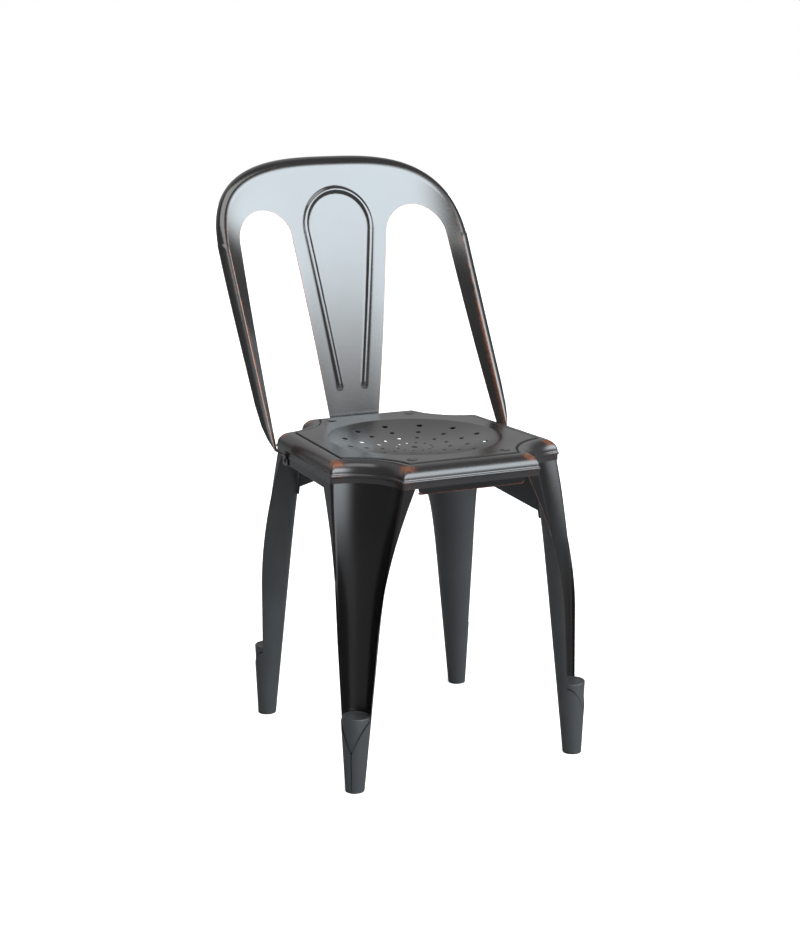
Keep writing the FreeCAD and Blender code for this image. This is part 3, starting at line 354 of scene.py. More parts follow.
def turned_grid(profile, base, axis=(0, 0, 1), steps=48):
    """A profile of (radius, height) pairs carried round an axis through base, as a wrapped grid."""
    radius, height = np.asarray(profile, float).T
    angle = np.linspace(0, 2 * np.pi, steps, endpoint=False)
    reach = radius[:, None]
    local = rows_of(reach * np.cos(angle), reach * np.sin(angle), height[:, None])
    turn = np.array(Vector((0, 0, 1)).rotation_difference(Vector(axis)).to_matrix())
    return local @ turn.T + np.asarray(base, float)


# Seat outline: how many points each run of it has, how much denser it is worked out, and how far
# the rubbing of its tips reaches
FRONT_STEPS = 48
REAR_STEPS = 44
SIDE_STEPS = 50
CORNER_STEPS = 24
FINE = 8
TIP_REACH = 14.0


def quadrant_corner(offset, rear):
    """The hollow corner's ends and centre in the quadrant x > 0, with y counted outwards.

    The outline is offset from the panel's edge, so the corner's radius shrinks by that much.
    """
    centre = np.array(REAR_CORNER if rear else FRONT_CORNER)
    radius = CORNER_RADIUS - offset
    edge_y = (PANEL_REAR if rear else PANEL_FRONT) + offset
    taper = -SIDE_TAPER if rear else SIDE_TAPER
    side_x = PANEL_SIDE + offset * math.hypot(1, taper)
    on_edge = np.array([centre[0] - math.sqrt(radius ** 2 - (edge_y - centre[1]) ** 2), edge_y])
    a = 1 + taper ** 2
    b = taper * (side_x - centre[0]) - centre[1]
    c = (side_x - centre[0]) ** 2 + centre[1] ** 2 - radius ** 2
    side_y = (-b - math.sqrt(b * b - a * c)) / a
    return on_edge, np.array([side_x + taper * side_y, side_y]), centre, radius


def corner_run(offset, rear, shares):
    """Points along a hollow corner from its front or rear end to its side end."""
    on_edge, on_side, centre, radius = quadrant_corner(offset, rear)
    first = polar_angle(on_edge - centre) % (2 * math.pi)
    last = polar_angle(on_side - centre) % (2 * math.pi)
    return centre + radius * circle_points(first + (last - first) * shares)


def seat_loop(offset, soft=2.4, step=0.5):
    """The seat's outline at an offset, as a closed loop from the front edge's left end round.

    Every offset gives the same count of points in the same order, packed near the corner tips,
    and each point is averaged over a few millimetres of the outline, which rounds the tips.
    """
    def shares(steps):
        marks = np.append(dense_ends(steps), 1.0)
        return np.interp(np.arange(steps * FINE) / FINE, np.arange(steps + 1), marks)

    tips, arcs = [], []
    share = shares(CORNER_STEPS)
    for side, rear, backwards in ((1, False, False), (1, True, True), (-1, True, False), (-1, False, True)):
        place = np.array([side, 1 if rear else -1])
        start, end = (tip * place for tip in quadrant_corner(offset, rear)[:2])
        tips.append((end, start) if backwards else (start, end))
        arcs.append(corner_run(offset, rear, 1 - share if backwards else share) * place)
    runs = []
    for index, steps in enumerate((FRONT_STEPS, SIDE_STEPS, REAR_STEPS, SIDE_STEPS)):
        start, end = tips[index - 1][1], tips[index][0]
        runs += [start + (end - start) * shares(steps)[:, None], arcs[index]]
    loop = np.concatenate(runs)
    closed = np.vstack([loop, loop[:1]])
    along = np.concatenate([[0], np.cumsum(np.linalg.norm(np.diff(closed, axis=0), axis=1))])
    total = along[-1]
    even = np.arange(0, total, step)
    kernel = np.exp(-0.5 * (np.minimum(even, total - even) / soft) ** 2)
    kernel /= kernel.sum()
    waves = np.fft.rfft(points_at(even, along, closed), axis=0) * np.fft.rfft(kernel)[:, None]
    smooth = np.fft.irfft(waves, n=len(even), axis=0)
    return points_at(along[:-1][::FINE], np.append(even, total), np.vstack([smooth, smooth[:1]]))


def tip_nearness(points):
    """How near points lie to the eight tips of the seat's outline, from 0 to 1."""
    tips = []
    for rear in (False, True):
        for tip in quadrant_corner(RIM_WIDTH / 2, rear)[:2]:
            for side in (-1, 1):
                tips.append([side * tip[0], tip[1] * (1 if rear else -1)])
    gap = np.linalg.norm(points[..., None, :2] - np.array(tips), axis=-1)
    return hump(gap.min(axis=-1), 0, TIP_REACH)


# Seat pan

def dish_height(radius):
    """Height on the panel: a round dish of parabola form whose edge is softened."""
    drop = DISH_DEPTH * (1 - (radius / DISH_RADIUS) ** 2)
    return SEAT_TOP - (drop + np.sqrt(drop ** 2 + DISH_SOFTENING ** 2)) / 2


def on_dish(flat, sink=0.0):
    """Points on the panel over flat ones, sunk by a given depth."""
    x, y = flat[..., 0], flat[..., 1]
    return rows_of(x, y, dish_height(np.hypot(x, y)) - sink)


def hole_cells(arc=24, radial=8):
    """The patch round each drain hole: from the hole's edge out to its share of the ring.

    A ring is cut into equal sectors. A sector's border is walked round once, each of its points
    is joined to the hole's edge by a straight line, and the lines are cut into a few steps.
    """
    half_turn = math.pi / HOLES_PER_RING
    steps = np.array([0.0, 0.05, 0.14, 0.34, 0.64, 1.0])
    sweep = np.linspace(-half_turn, half_turn, arc, endpoint=False)
    angle = np.concatenate([sweep, np.full(radial, half_turn), -sweep, np.full(radial, -half_turn)])
    # Painted shade: the wear value falls to -1 at each hole's edge, so the rim of every hole is darkened.
    wear_and_shade = -fade(steps, 1 / 30)[:, None]
    sink = HOLE_SINK * fade(steps, 1 / 25)[:, None]
    cells = []
    for ring in range(HOLE_RINGS):
        middle = INNER_RING + ring * RING_PITCH
        inner, outer = middle - RING_PITCH / 2, middle + RING_PITCH / 2
        reach = np.concatenate([np.full(arc, outer), np.linspace(outer, inner, radial, endpoint=False),
                                np.full(arc, inner), np.linspace(inner, outer, radial, endpoint=False)])
        border = reach[:, None] * circle_points(angle)
        centre = np.array([middle, 0.0])
        edge = centre + unit(border - centre) * (INNER_HOLE + ring * HOLE_GROWTH) / 2
        flat = edge + (border - edge) * steps[:, None, None]
        for index in range(HOLES_PER_RING):
            cosine, sine = circle_points(2 * math.pi * index / HOLES_PER_RING)
            turned = flat @ np.array([[cosine, sine], [-sine, cosine]])
            cells.append((on_dish(turned, sink), wear_and_shade, True))
    return cells


def seat_pan_grids():
    """The pan from its middle hole out over the dish, panel, groove, rolled rim and bead."""
    around = FRONT_STEPS + REAR_STEPS + 2 * SIDE_STEPS + 4 * CORNER_STEPS
    step = 2 * math.pi / around
    first = round(polar_angle(seat_loop(0)[0]) / step) * step
    ray = circle_points(first + np.arange(around) * step)
    middle = np.array([CENTRE_HOLE / 2, CENTRE_HOLE / 2 + 0.6, 6.0, 9.0, INNER_RING - RING_PITCH / 2])
    hub = on_dish(middle[:, None, None] * ray)
    # Painted shade: the wear value falls to -1 at the middle hole's edge.
    grids = [(hub, -fade(middle - middle[0], 1)[:, None], True)] + hole_cells()
    last_ring = INNER_RING + (HOLE_RINGS - 0.5) * RING_PITCH
    radii = np.array([last_ring, 117.0, 120.0, 122.5, 124.5, 125.5, 126.2, 127.0, 128.2, 130.0])
    skirt = radii[:, None, None] * ray
    panel = skirt[-1] + (seat_loop(-3.0) - skirt[-1]) * np.linspace(0, 1, 8)[:, None, None]
    offsets, heights = rim_profile()
    loops = np.stack([seat_loop(o) for o in offsets])
    rim = rows_of(loops[..., 0], loops[..., 1], heights[:, None])
    roll = hump(offsets, middle=16.0, width=8.0)[:, None]
    bead = hump(heights, BEAD_MIDDLE, width=2.2)[:, None]
    hem = fade(heights - SKIRT_LOW, reach=1.2)[:, None]
    groove = hump(offsets, GROOVE_MIDDLE, width=1.35, power=4)[:, None]
    at_tips = tip_nearness(rim) * (0.25 + 0.42 * roll + 0.25 * bead)
    # Painted shade: the groove round the panel gets a negative wear value, which darkens it.
    wear_and_shade = at_tips + 0.06 * roll + 0.10 * bead + 0.12 * hem - 1.1 * groove
    return grids + [(on_dish(skirt), 0.0, True), (on_dish(panel), 0.0, True), (rim, wear_and_shade, True)]


def rim_profile():
    """Offsets and heights across the rim: panel edge, groove, flat, a quarter roll, bead, hem."""
    across = np.array([-3.0, -2.0, -1.2, -0.6, 0.0, 0.5, 1.0, 1.5, 2.2, 3.2, 4.6])
    dip = GROOVE_DEPTH * hump(across, GROOVE_MIDDLE, width=1.2)
    level = SEAT_TOP - PANEL_STEP * ease_between(across, -1.0, 1.4) - dip
    turn = np.radians(np.linspace(0, 90, 15))
    roll_x = RIM_WIDTH - RIM_ROLL + RIM_ROLL * np.sin(turn)
    roll_z = RIM_TOP - RIM_ROLL * (1 - np.cos(turn))
    below = [BEAD_MIDDLE - 4.6, (BEAD_MIDDLE + SKIRT_LOW) / 2 - 1.5, SKIRT_LOW + 1.0, SKIRT_LOW]
    low = np.concatenate([np.linspace(RIM_TOP - RIM_ROLL, BEAD_MIDDLE - 3.4, 15)[1:], below])
    swell = np.clip(1 - ((low - BEAD_MIDDLE) / BEAD_HALF) ** 2, 0, 1) ** 0.6
    low_x = RIM_WIDTH + BEAD_OUT * swell
    return np.concatenate([across, roll_x, low_x]), np.concatenate([level, roll_z, low])


def rivet_grids():
    """A low domed head with a ring pressed round it, for each of the four seat rivets."""
    radius = np.array([0.0, 1.5, 3.0, 4.3, 5.2, 5.8, 6.1, 6.5, 7.0, 7.6, 8.2])
    height = np.array([1.25, 1.22, 1.1, 0.9, 0.62, 0.3, 0.02, -0.05, 0.24, 0.22, -0.05])
    profile = np.stack([radius, height], axis=1)
    # Rubbed wear on the dome's edge, and painted shade in the pressed ring round it.
    wear_and_shade = 0.25 * hump(radius, middle=5.2, width=0.7) - hump(radius, middle=6.5, width=0.9)
    return [(turned_grid(profile, (side * x, y, SEAT_TOP)), wear_and_shade[:, None], True)
            for x, y in RIVETS for side in (-1, 1)]


# Legs

# Directions in a corner's quadrant: outwards along the diagonal, and across it
OUT = np.array([math.sqrt(0.5), math.sqrt(0.5)])
ACROSS = np.array([-math.sqrt(0.5), math.sqrt(0.5)])


def leg_middle(height, rear):
    """A leg's middle line in the quadrant, for an array of heights."""
    foot = np.array(FOOT_REAR if rear else FOOT_FRONT)
    return foot - np.asarray(height)[..., None] * np.array(LEG_LEAN)


def leg_section(height, rear):
    """The gutter's five marks at each height: ear end, fold, middle, fold, ear end.

    Up to the flare they lie on half a circle. Above it each moves to its place under the rim:
    outwards and sideways by its own power of the height's share.
    """
    middle = leg_middle(height, rear)
    radius = (FOOT_RADIUS + LEG_CONE * height)[:, None]
    cosine, sine = radius * math.cos(EDGE_ANGLE), radius * math.sin(EDGE_ANGLE)
    low = [middle + ACROSS * radius, middle + ACROSS * cosine - OUT * sine, middle - OUT * radius,
           middle - ACROSS * cosine - OUT * sine, middle - ACROSS * radius]
    on_edge, on_side, centre, hollow = quadrant_corner(RIM_WIDTH - LEG_INSET, rear)
    deep = centre + unit((on_edge + on_side) / 2 - centre) * hollow
    down = unit(np.array([SIDE_TAPER if rear else -SIDE_TAPER, -1.0]))
    side_ear = EAR_SIDE_REAR if rear else EAR_SIDE_FRONT
    high = [on_edge - np.array([EAR_END, 0.0]), on_edge, deep, on_side, on_side + down * side_ear]
    share = np.clip((height - FLARE_START) / (SKIRT_LOW - FLARE_START), 0, 1)[:, None]
    marks = []
    for mark, (out_power, across_power), place in zip(low, FLARE_POWERS, high):
        outwards = ((place - mark) @ OUT)[:, None] * share ** out_power
        sideways = ((place - mark) @ ACROSS)[:, None] * share ** across_power
        marks.append(mark + OUT * outwards + ACROSS * sideways)
    return marks


def circle_through(a, b, c):
    """Centres of the circles through three points each."""
    points = np.stack([a, b, c])
    across = np.stack([b - c, c - a, a - b])
    squares = (points ** 2).sum(axis=-1)
    twice = 2 * (points[..., 0] * across[..., 1]).sum(axis=0)
    x = (squares * across[..., 1]).sum(axis=0) / twice
    y = -(squares * across[..., 0]).sum(axis=0) / twice
    return np.stack([x, y], axis=1)


def from_quadrant(flat, height, side, rear):
    """Points of the quadrant x > 0, y counted outwards, set on their own side and end."""
    return rows_of(side * flat[..., 0], flat[..., 1] * (1 if rear else -1), height)


def gutter_grids(side, rear, arc_columns=49, ear_columns=16):
    """A leg's gutter: ear, arc and ear at each height, with the folds between them rounded."""
    height = np.concatenate([np.linspace(GLIDE_RIM, FLARE_START, 40, endpoint=False),
                             np.linspace(FLARE_START, SKIRT_LOW, 70)])
    end_a, fold_a, middle, fold_b, end_b = leg_section(height, rear)
    centre = circle_through(fold_a, middle, fold_b)
    radius = np.linalg.norm(middle - centre, axis=1)[:, None]
    first, half, last = (np.arctan2(*(mark - centre).T[::-1])[:, None] for mark in (fold_a, middle, fold_b))
    first, last = (half + (angle - half + np.pi) % (2 * np.pi) - np.pi for angle in (first, last))
    angle = first + (last - first) * np.linspace(0, 1, arc_columns)
    arc = centre[:, None, :] + radius[..., None] * circle_points(angle)
    share = np.linspace(0, 1, ear_columns, endpoint=False)[None, :, None]
    ear_a, ear_b = (end[:, None, :] + (fold - end)[:, None, :] * share
                    for end, fold in ((end_a, fold_a), (end_b, fold_b)))
    flat = np.concatenate([ear_a, arc, ear_b[:, ::-1]], axis=1)
    padded = np.concatenate([flat[:, :1], flat[:, :1], flat, flat[:, -1:], flat[:, -1:]], axis=1)
    soft = sum(weight / 12 * padded[:, k:k + flat.shape[1]] for k, weight in enumerate((1, 3, 4, 3, 1)))
    soft[:, [0, -1]] = flat[:, [0, -1]]

    def rubbed(amount, strength, low, high):
        return strength * amount * ease_between(height, low, high)[:, None]

    gap = np.minimum(*(np.linalg.norm(soft - end[:, None, :], axis=-1) for end in (end_a, end_b)))
    column = np.arange(flat.shape[1])
    fold = np.minimum(abs(column - ear_columns), abs(column - ear_columns - arc_columns + 1))
    edge = rubbed(fade(gap, reach=1.2), strength=0.6, low=95, high=135)
    strip = rubbed(fade(gap, reach=8.0), strength=0.22, low=120, high=240)
    crease = rubbed(hump(fold, middle=0, width=2.0), strength=0.2, low=290, high=370)
    return [(from_quadrant(soft, height[:, None], side, rear), np.maximum(edge, strip + crease), False)]


def lip_grids(side, rear):
    """The outward half of a foot: a round wall whose top follows the V notch, slit down its middle."""
    grids = []
    bottom, top = NOTCH
    half_way = FOOT_RADIUS + LEG_CONE * NOTCH_HALF_WAY
    widest = FOOT_RADIUS + LEG_CONE * top
    for turn in (-1, 1):
        angle = turn * np.radians(np.linspace(SLIT_HALF_ANGLE, 90, 26))
        level = bottom + (top - bottom) * np.abs(np.sin(angle)) * half_way / widest
        height = GLIDE_RIM + (level - GLIDE_RIM) * np.linspace(0, 1, 30)[:, None]
        radius = (FOOT_RADIUS + LEG_CONE * height - FOOT_SEAM)[..., None]
        flat = leg_middle(height, rear) + radius * (circle_points(angle) @ np.array([OUT, ACROSS]))
        # Painted shade: the wall darkens to near black along its top edge at the notch.
        wear_and_shade = -fade(level - height, reach=1.1)
        grids.append((from_quadrant(flat, height, side, rear), wear_and_shade, False))
    return grids


def foot_axis(side, rear):
    """The direction in which a leg rises."""
    return (-side * LEG_LEAN[0], (-1 if rear else 1) * LEG_LEAN[1], 1)


def foot_place(side, rear):
    """Where a leg meets the floor."""
    foot = FOOT_REAR if rear else FOOT_FRONT
    return (side * foot[0], foot[1] if rear else -foot[1], 0.0)


def plug_profile():
    """The plug inside a foot: a plain wall, a rounded shoulder and a slightly dished top."""
    top = NOTCH[1] + PLUG_RISE
    hidden = NOTCH[0] + 2.0
    low_wall, hidden_wall, reach = FOOT_RADIUS - PLUG_WALL_GAP + LEG_CONE * np.array([PLUG_LOW, hidden, top])
    wall = [(low_wall - 1.2, PLUG_LOW), (low_wall, PLUG_LOW), (hidden_wall, hidden),
            (hidden_wall + 0.1, hidden + 1.5)]
    turn = np.radians(np.linspace(0, 90, 7))
    shoulder = np.array([reach, top]) - PLUG_ROUND + PLUG_ROUND * circle_points(turn)
    inner = [(reach - 3.0, top - 0.1), (reach - 4.0, top - 0.9), (reach - 6.0, top - 1.1), (0.0, top - 1.2)]
    profile = np.concatenate([wall, shoulder, inner])
    # Painted shade: the part of the wall hidden inside the foot gets wear -1, which darkens it.
    return profile, np.where(profile[:, 1] <= hidden, -1.0, 0.0)[:, None]


def glide_profile():
    """The glide under a foot: a rim with rounded corners and a short plug."""
    stem = FOOT_RADIUS - PLUG_WALL_GAP
    return [(0.0, 0.0), (FOOT_RADIUS - 1.2, 0.0), (FOOT_RADIUS - 0.4, 0.3), (FOOT_RADIUS, 1.1),
            (FOOT_RADIUS, GLIDE_RIM - 0.5), (FOOT_RADIUS - 0.3, GLIDE_RIM), (stem, GLIDE_RIM),
            (stem, GLIDE_STEM - 0.6), (stem - 0.6, GLIDE_STEM), (0.0, GLIDE_STEM)]


# Back shell

def back_middle(height):
    """How far behind the dish the flat middle of the back stands."""
    rise = height - BACK_REFERENCE
    return BACK_BEHIND + BACK_LEAN * rise + BACK_SWEEP * rise ** 2


def back_wrap(height):
    """How far the back comes forward over the wrap span."""
    rise = height - BACK_REFERENCE
    return WRAP_BASE - WRAP_FALL * rise + WRAP_EASE * rise ** 2


def back_y(across, height):
    """The front face of the back: flat in the middle and a parabola forwards to each side."""
    reach = np.maximum(0, np.abs(across) - FLAT_HALF) / WRAP_SPAN
    return back_middle(height) - back_wrap(height) * reach ** 2


def ridge_width(height):
    """Half width, below the arch, to the line where the rolled edge starts."""
    return RIDGE_FOOT + (RIDGE_SIDE - RIDGE_FOOT) * (height - BACK_REFERENCE) / (ARCH_BASE - BACK_REFERENCE)


def arch_point(turn):
    """The arch of that line: a squared ellipse, by polar angle."""
    across, up = np.cos(turn), np.maximum(np.sin(turn), 0)
    reach = (np.abs(across) ** ARCH_POWER + up ** ARCH_POWER) ** (1 / ARCH_POWER)
    return RIDGE_SIDE * across / reach, ARCH_BASE + RIDGE_RISE * up / reach


def tangent_from(base, centre, radius, sign):
    """Where the line up from a point touches a circle on one side, its direction and its heading."""
    span = np.array(centre) - base
    distance = np.hypot(*span)
    heading = math.atan2(span[0], span[1]) + sign * math.asin(radius / distance)
    way = np.array([math.sin(heading), math.cos(heading)])
    return np.array(base) + way * math.sqrt(distance ** 2 - radius ** 2), way, heading


def rib_height_at(x, z):
    """How far the raised rib stands out: a round hump across its path, which fades at both ends."""
    base = np.array(RIB_FOOT)
    touch, _, heading = tangent_from(base, RIB_CENTRE, RIB_RADIUS, 1)
    run = base + (touch - base) * np.linspace(0, 1, 120)[:, None]
    arch = np.array(RIB_CENTRE) + RIB_RADIUS * circle_points(np.linspace(-heading, math.pi / 2, 60)[1:])
    path = np.concatenate([run, arch])
    gap = np.full(x.shape, np.inf)
    for part in np.array_split(path, 9):
        apart = np.hypot(np.abs(x)[..., None] - part[:, 0], z[..., None] - part[:, 1])
        gap = np.minimum(gap, apart.min(axis=-1))
    share = np.clip(gap / RIB_HALF_WIDTH, 0, 1)
    return RIB_HEIGHT * (0.5 + 0.5 * np.cos(np.pi * share)) ** 0.9


def sheet_surface(x, z):
    """The back's front face with its rib."""
    return rows_of(x, back_y(x, z) - rib_height_at(x, z), z)


def opening_border(straight=96):
    """The edge of the right opening from the splat's foot over the top to the stile's foot.

    Gives the border points, for each the point on the outer line that it is joined to, and whether
    that is on the ridge. The outer line is the middle of the back beside the splat, then the ridge,
    found along rays from the middle of the opening's round top.
    """
    centre = np.array(OPENING)
    splat_touch, splat_way, _ = tangent_from((SPLAT_BASE, BACK_REFERENCE), OPENING, OPENING_RADIUS, -1)
    stile_touch, stile_way, _ = tangent_from((STILE_BASE, BACK_REFERENCE), OPENING, OPENING_RADIUS, 1)
    first = polar_angle(splat_touch - centre) % (2 * math.pi)
    corner = math.atan2(ARCH_BASE + RIDGE_RISE - centre[1], -centre[0])
    last = polar_angle(stile_touch - centre)
    rays = np.concatenate([np.linspace(first, corner, 60, endpoint=False), np.linspace(corner, last, 130)])
    ring = centre + OPENING_RADIUS * circle_points(rays)
    low = np.linspace(ARCH_BASE, centre[1] - 90, 40)[1:]
    ridge = np.concatenate([np.stack(arch_point(np.radians(np.linspace(90, 0, 400))), axis=1),
                            np.stack([ridge_width(low), low], axis=1)])
    outer = points_at(-rays, -np.arctan2(*(ridge - centre).T[::-1]), ridge)
    beside = rays > corner
    outer[beside] = np.stack([np.zeros(beside.sum()), centre[1] - centre[0] * np.tan(rays[beside])], axis=1)
    up = np.linspace(0, 1, straight, endpoint=False)[:, None]
    down = np.linspace(0, 1, straight)[1:, None]
    splat_low = splat_touch + splat_way * (FOOT_BEND - splat_touch[1]) / splat_way[1]
    stile_low = stile_touch + stile_way * (FOOT_BEND - stile_touch[1]) / stile_way[1]
    middle_low = np.array([0.0, FOOT_BEND])
    ridge_run = outer[-1, 1] + (FOOT_BEND - outer[-1, 1]) * down[:, 0]
    border = np.concatenate([splat_low + (splat_touch - splat_low) * up, ring,
                             stile_touch + (stile_low - stile_touch) * down])
    joined = np.concatenate([middle_low + (outer[0] - middle_low) * up, outer,
                             np.stack([ridge_width(ridge_run), ridge_run], axis=1)])
    return border, joined, np.arange(len(border)) >= straight + int(beside.sum())


def ridge_outward(x, z):
    """The outward direction across the ridge, seen from the front."""
    up = np.clip((z - ARCH_BASE) / RIDGE_RISE, 0, 1)
    across = np.clip(x / RIDGE_SIDE, 0, 1)
    nx = across ** (ARCH_POWER - 1) / RIDGE_SIDE
    nz = up ** (ARCH_POWER - 1) / RIDGE_RISE
    size = np.hypot(nx, nz)
    return nx / size, nz / size, up ** ARCH_POWER


def roll_grid(outer, turned=13, straight=3):
    """The rolled edge along the ridge: a quarter turn backwards and a lip, larger at the top.

    Its swell grows from nothing at the stile's foot.
    """
    x, z = outer[:, 0], outer[:, 1]
    nx, nz, up = ridge_outward(x, z)
    below = ROLL_GROWTH_BELOW_ARCH
    grown = below * ease_between(z, FOOT_BEND, ARCH_BASE) + (1 - below) * up
    above, part = np.array(ROLL_SWELL).T
    swell = np.interp(z, FOOT_BEND + above, part)
    away, behind, lip = ((low + (top - low) * grown) * swell
                         for low, top in (ROLL_OUT, ROLL_BEHIND, ROLL_LIP))
    turn = np.radians(np.linspace(0, 90, turned))
    out = np.concatenate([np.sin(turn), np.ones(straight)])
    depth = np.concatenate([1 - np.cos(turn), np.ones(straight)])
    lips = np.concatenate([np.zeros(turned), [0.34, 0.67, 1.0]])
    front = back_y(x, z)
    lead = np.maximum(back_y(x + nx, z + nz) - front, 0) * away * up
    y = front[:, None] + lead[:, None] * out + (behind - lead)[:, None] * depth + lip[:, None] * lips
    points = rows_of(x[:, None] + (nx * away)[:, None] * out, y, z[:, None] + (nz * away)[:, None] * out)
    column = np.arange(turned + straight)
    wear_and_shade = 0.62 * fade(column, reach=1.4) + 0.35 * fade(column[::-1], reach=0.8)
    return points, wear_and_shade * (1 - 0.9 * ease_between(z, *WEAR_FADE))[:, None]


def foot_grid(top_row, on_stile):
    """A lower end of the back, from the sheet's last row down to its bolts.

    The sheet's own run settles onto the joggle, which stands off the side for a stile and off the
    rear for the splat.
    """
    height, clear = np.array(JOGGLE).T[..., None]
    offset = clear + RIM_WIDTH
    if on_stile:
        half = np.linalg.norm(top_row[0] - top_row[-1]) / 2 + 1
        y = STILE_FOOT_Y + half * np.linspace(1, -1, len(top_row))
        flat = rows_of(PANEL_SIDE + offset * math.hypot(1, SIDE_TAPER) - SIDE_TAPER * y, y, height)
    else:
        flat = rows_of(top_row[:, 0], PANEL_REAR + offset, height)
    near = rows_of(top_row[:, 0], top_row[:, 1], height)
    settle = ease_between(height, FOOT_BEND, FOOT_STEP)[..., None]
    return np.concatenate([top_row[None], near + (flat - near) * settle])


def back_shell_grids():
    """The whole back: each half of the sheet between opening and outline, the roll and the feet."""
    border, outer, on_ridge = opening_border()
    flat = border[:, None, :] + (outer - border)[:, None, :] * np.linspace(0, 1, SHEET_COLUMNS)[:, None]
    sheet = sheet_surface(flat[..., 0], flat[..., 1])
    to_edge = np.linalg.norm(flat - border[:, None, :], axis=-1)
    to_ridge = np.linalg.norm(flat - outer[:, None, :], axis=-1)
    low = ease_between(flat[..., 1], 720, 560)
    rubbed = fade(to_ridge, reach=2.0 + 2.0 * low) * (0.3 + 0.4 * low)
    rubbed *= 1 - ease_between(flat[..., 1], *WEAR_FADE)
    wear_and_shade = 0.62 * fade(to_edge, reach=1.0) + on_ridge[:, None] * rubbed
    rolled, roll_worn = roll_grid(outer[on_ridge])
    mirror = np.array([-1, 1, 1])
    grids = []
    for points, wear in ((sheet, wear_and_shade), (rolled, roll_worn), (foot_grid(sheet[-1], True), 0.25)):
        grids += [(points, wear, False), (points * mirror, wear, False)]
    whole_row = np.concatenate([sheet[0], (sheet[0] * mirror)[::-1][1:]])
    return grids + [(foot_grid(whole_row, False), 0.1, False)]


# Aprons

def apron_profile(drop):
    """An apron's outer face as inward offsets and heights: curled foot, web, slope and shelf."""
    low = SKIRT_LOW - drop
    bend = APRON_BEND
    turn = np.radians(np.linspace(0, 90, 7))
    foot = [(APRON_CURL, low), (APRON_CURL - 3.0, low)]
    curl = [(bend - bend * math.sin(a), low + bend - bend * math.cos(a)) for a in turn]
    web_top = SKIRT_LOW + APRON_WEB_RISE
    upper = [(0.0, SKIRT_LOW - 4.0), (0.0, web_top - 1.5), (0.6, web_top)]
    under = RIM_TOP - SHEET
    shelf = [(APRON_SHELF_START - 1.6, under - 0.6), (APRON_SHELF_START, under), (APRON_SHELF_END, under)]
    return np.array(foot + curl + upper + shelf)


def apron_grid(drop, half, slant):
    """An apron rail along X about its own middle, with its lower corners cut back by a slant."""
    inward, height = apron_profile(drop).T
    share = np.linspace(-1, 1, 61)
    low = SKIRT_LOW - drop
    reach = half + slant * ease((height - low) / (drop - 1.0))
    x = reach[:, None] * share
    points = rows_of(x, inward[:, None], height[:, None])
    ends = fade(reach[:, None] - np.abs(x), reach=1.5)
    foot = (fade(np.maximum(0, height - low), APRON_BEND) * (inward <= APRON_CURL))[:, None]
    return points, np.clip(0.75 * foot + 0.3 * ends, 0, 1)


def placed_apron(points, name):
    """Turn an apron's grid into its place on a side of the seat."""
    face = RIM_WIDTH - SHEET
    x, inward, z = points[..., 0], points[..., 1], points[..., 2]
    if name == "front":
        return rows_of(x, -(PANEL_FRONT + face) + inward, z)
    if name == "rear":
        return rows_of(x, PANEL_REAR + face - inward, z)
    side = -1 if name == "left" else 1
    stretch = math.hypot(1, SIDE_TAPER)
    along = np.array([-SIDE_TAPER, 1.0]) / stretch
    inside = np.array([-1.0, -SIDE_TAPER]) / stretch
    out = PANEL_SIDE + face * stretch - SIDE_TAPER * APRON_SIDE_SHIFT
    middle = np.array([out, APRON_SIDE_SHIFT])
    flat = middle + x[..., None] * along + inward[..., None] * inside
    return rows_of(side * flat[..., 0], flat[..., 1], z)


# Aged bronze finish

def desk_for(owner):
    """Turn on the nodes of a material or world and give a desk for them."""
    owner.use_nodes = True
    return NodeDesk(owner.node_tree)


class NodeDesk:
    """Short calls that add and join the nodes of one tree."""

    def __init__(self, tree):
        self.tree = tree

    def feed(self, socket, value):
        """Join an output to a socket, or set the socket to a plain value."""
        if isinstance(value, bpy.types.NodeSocket):
            self.tree.links.new(value, socket)
        else:
            socket.default_value = value

    def add(self, kind, feeds=(), **values):
        """Add a node with its settings, and feed its sockets by name or number."""
        node = self.tree.nodes.new(kind)
        for key, value in values.items():
            setattr(node, key, value)
        for key, value in dict(feeds).items():
            self.feed(node.inputs[key], value)
        return node

    def maths(self, operation, first, *more, clamp=False):
        node = self.add("ShaderNodeMath", operation=operation, use_clamp=clamp)
        for socket, value in zip(node.inputs, (first,) + more):
            self.feed(socket, value)
        return node.outputs[0]

    def times(self, first, second):
        return self.maths("MULTIPLY", first, second)

    def plus(self, first, second, clamp=False):
        return self.maths("ADD", first, second, clamp=clamp)

    def blend(self, share, first, second):
        return self.add("ShaderNodeMix", {0: share, 6: first, 7: second}, data_type="RGBA").outputs[2]

    def noise(self, vector, scale, detail, roughness):
        feeds = {"Vector": vector, "Scale": scale, "Detail": detail, "Roughness": roughness}
        return self.add("ShaderNodeTexNoise", feeds).outputs["Fac"]

    def bump(self, height, strength, distance):
        feeds = {"Height": height, "Strength": strength, "Distance": distance}
        return self.add("ShaderNodeBump", feeds).outputs["Normal"]

    def ramp(self, value, low, high):
        feeds = {"Value": value, "From Min": low, "From Max": high}
        return self.add("ShaderNodeMapRange", feeds, interpolation_type="SMOOTHSTEP").outputs["Result"]

    def window(self, turn, rise, turns, rises):
        """A soft-edged rectangle of directions: four limits in degrees for each of two angles."""
        shares = []
        for value, limits in ((turn, turns), (rise, rises)):
            first, second, third, fourth = (math.radians(v) for v in limits)
            falling = self.maths("SUBTRACT", 1.0, self.ramp(value, third, fourth))
            shares.append(self.times(self.ramp(value, first, second), falling))
        return self.times(*shares)


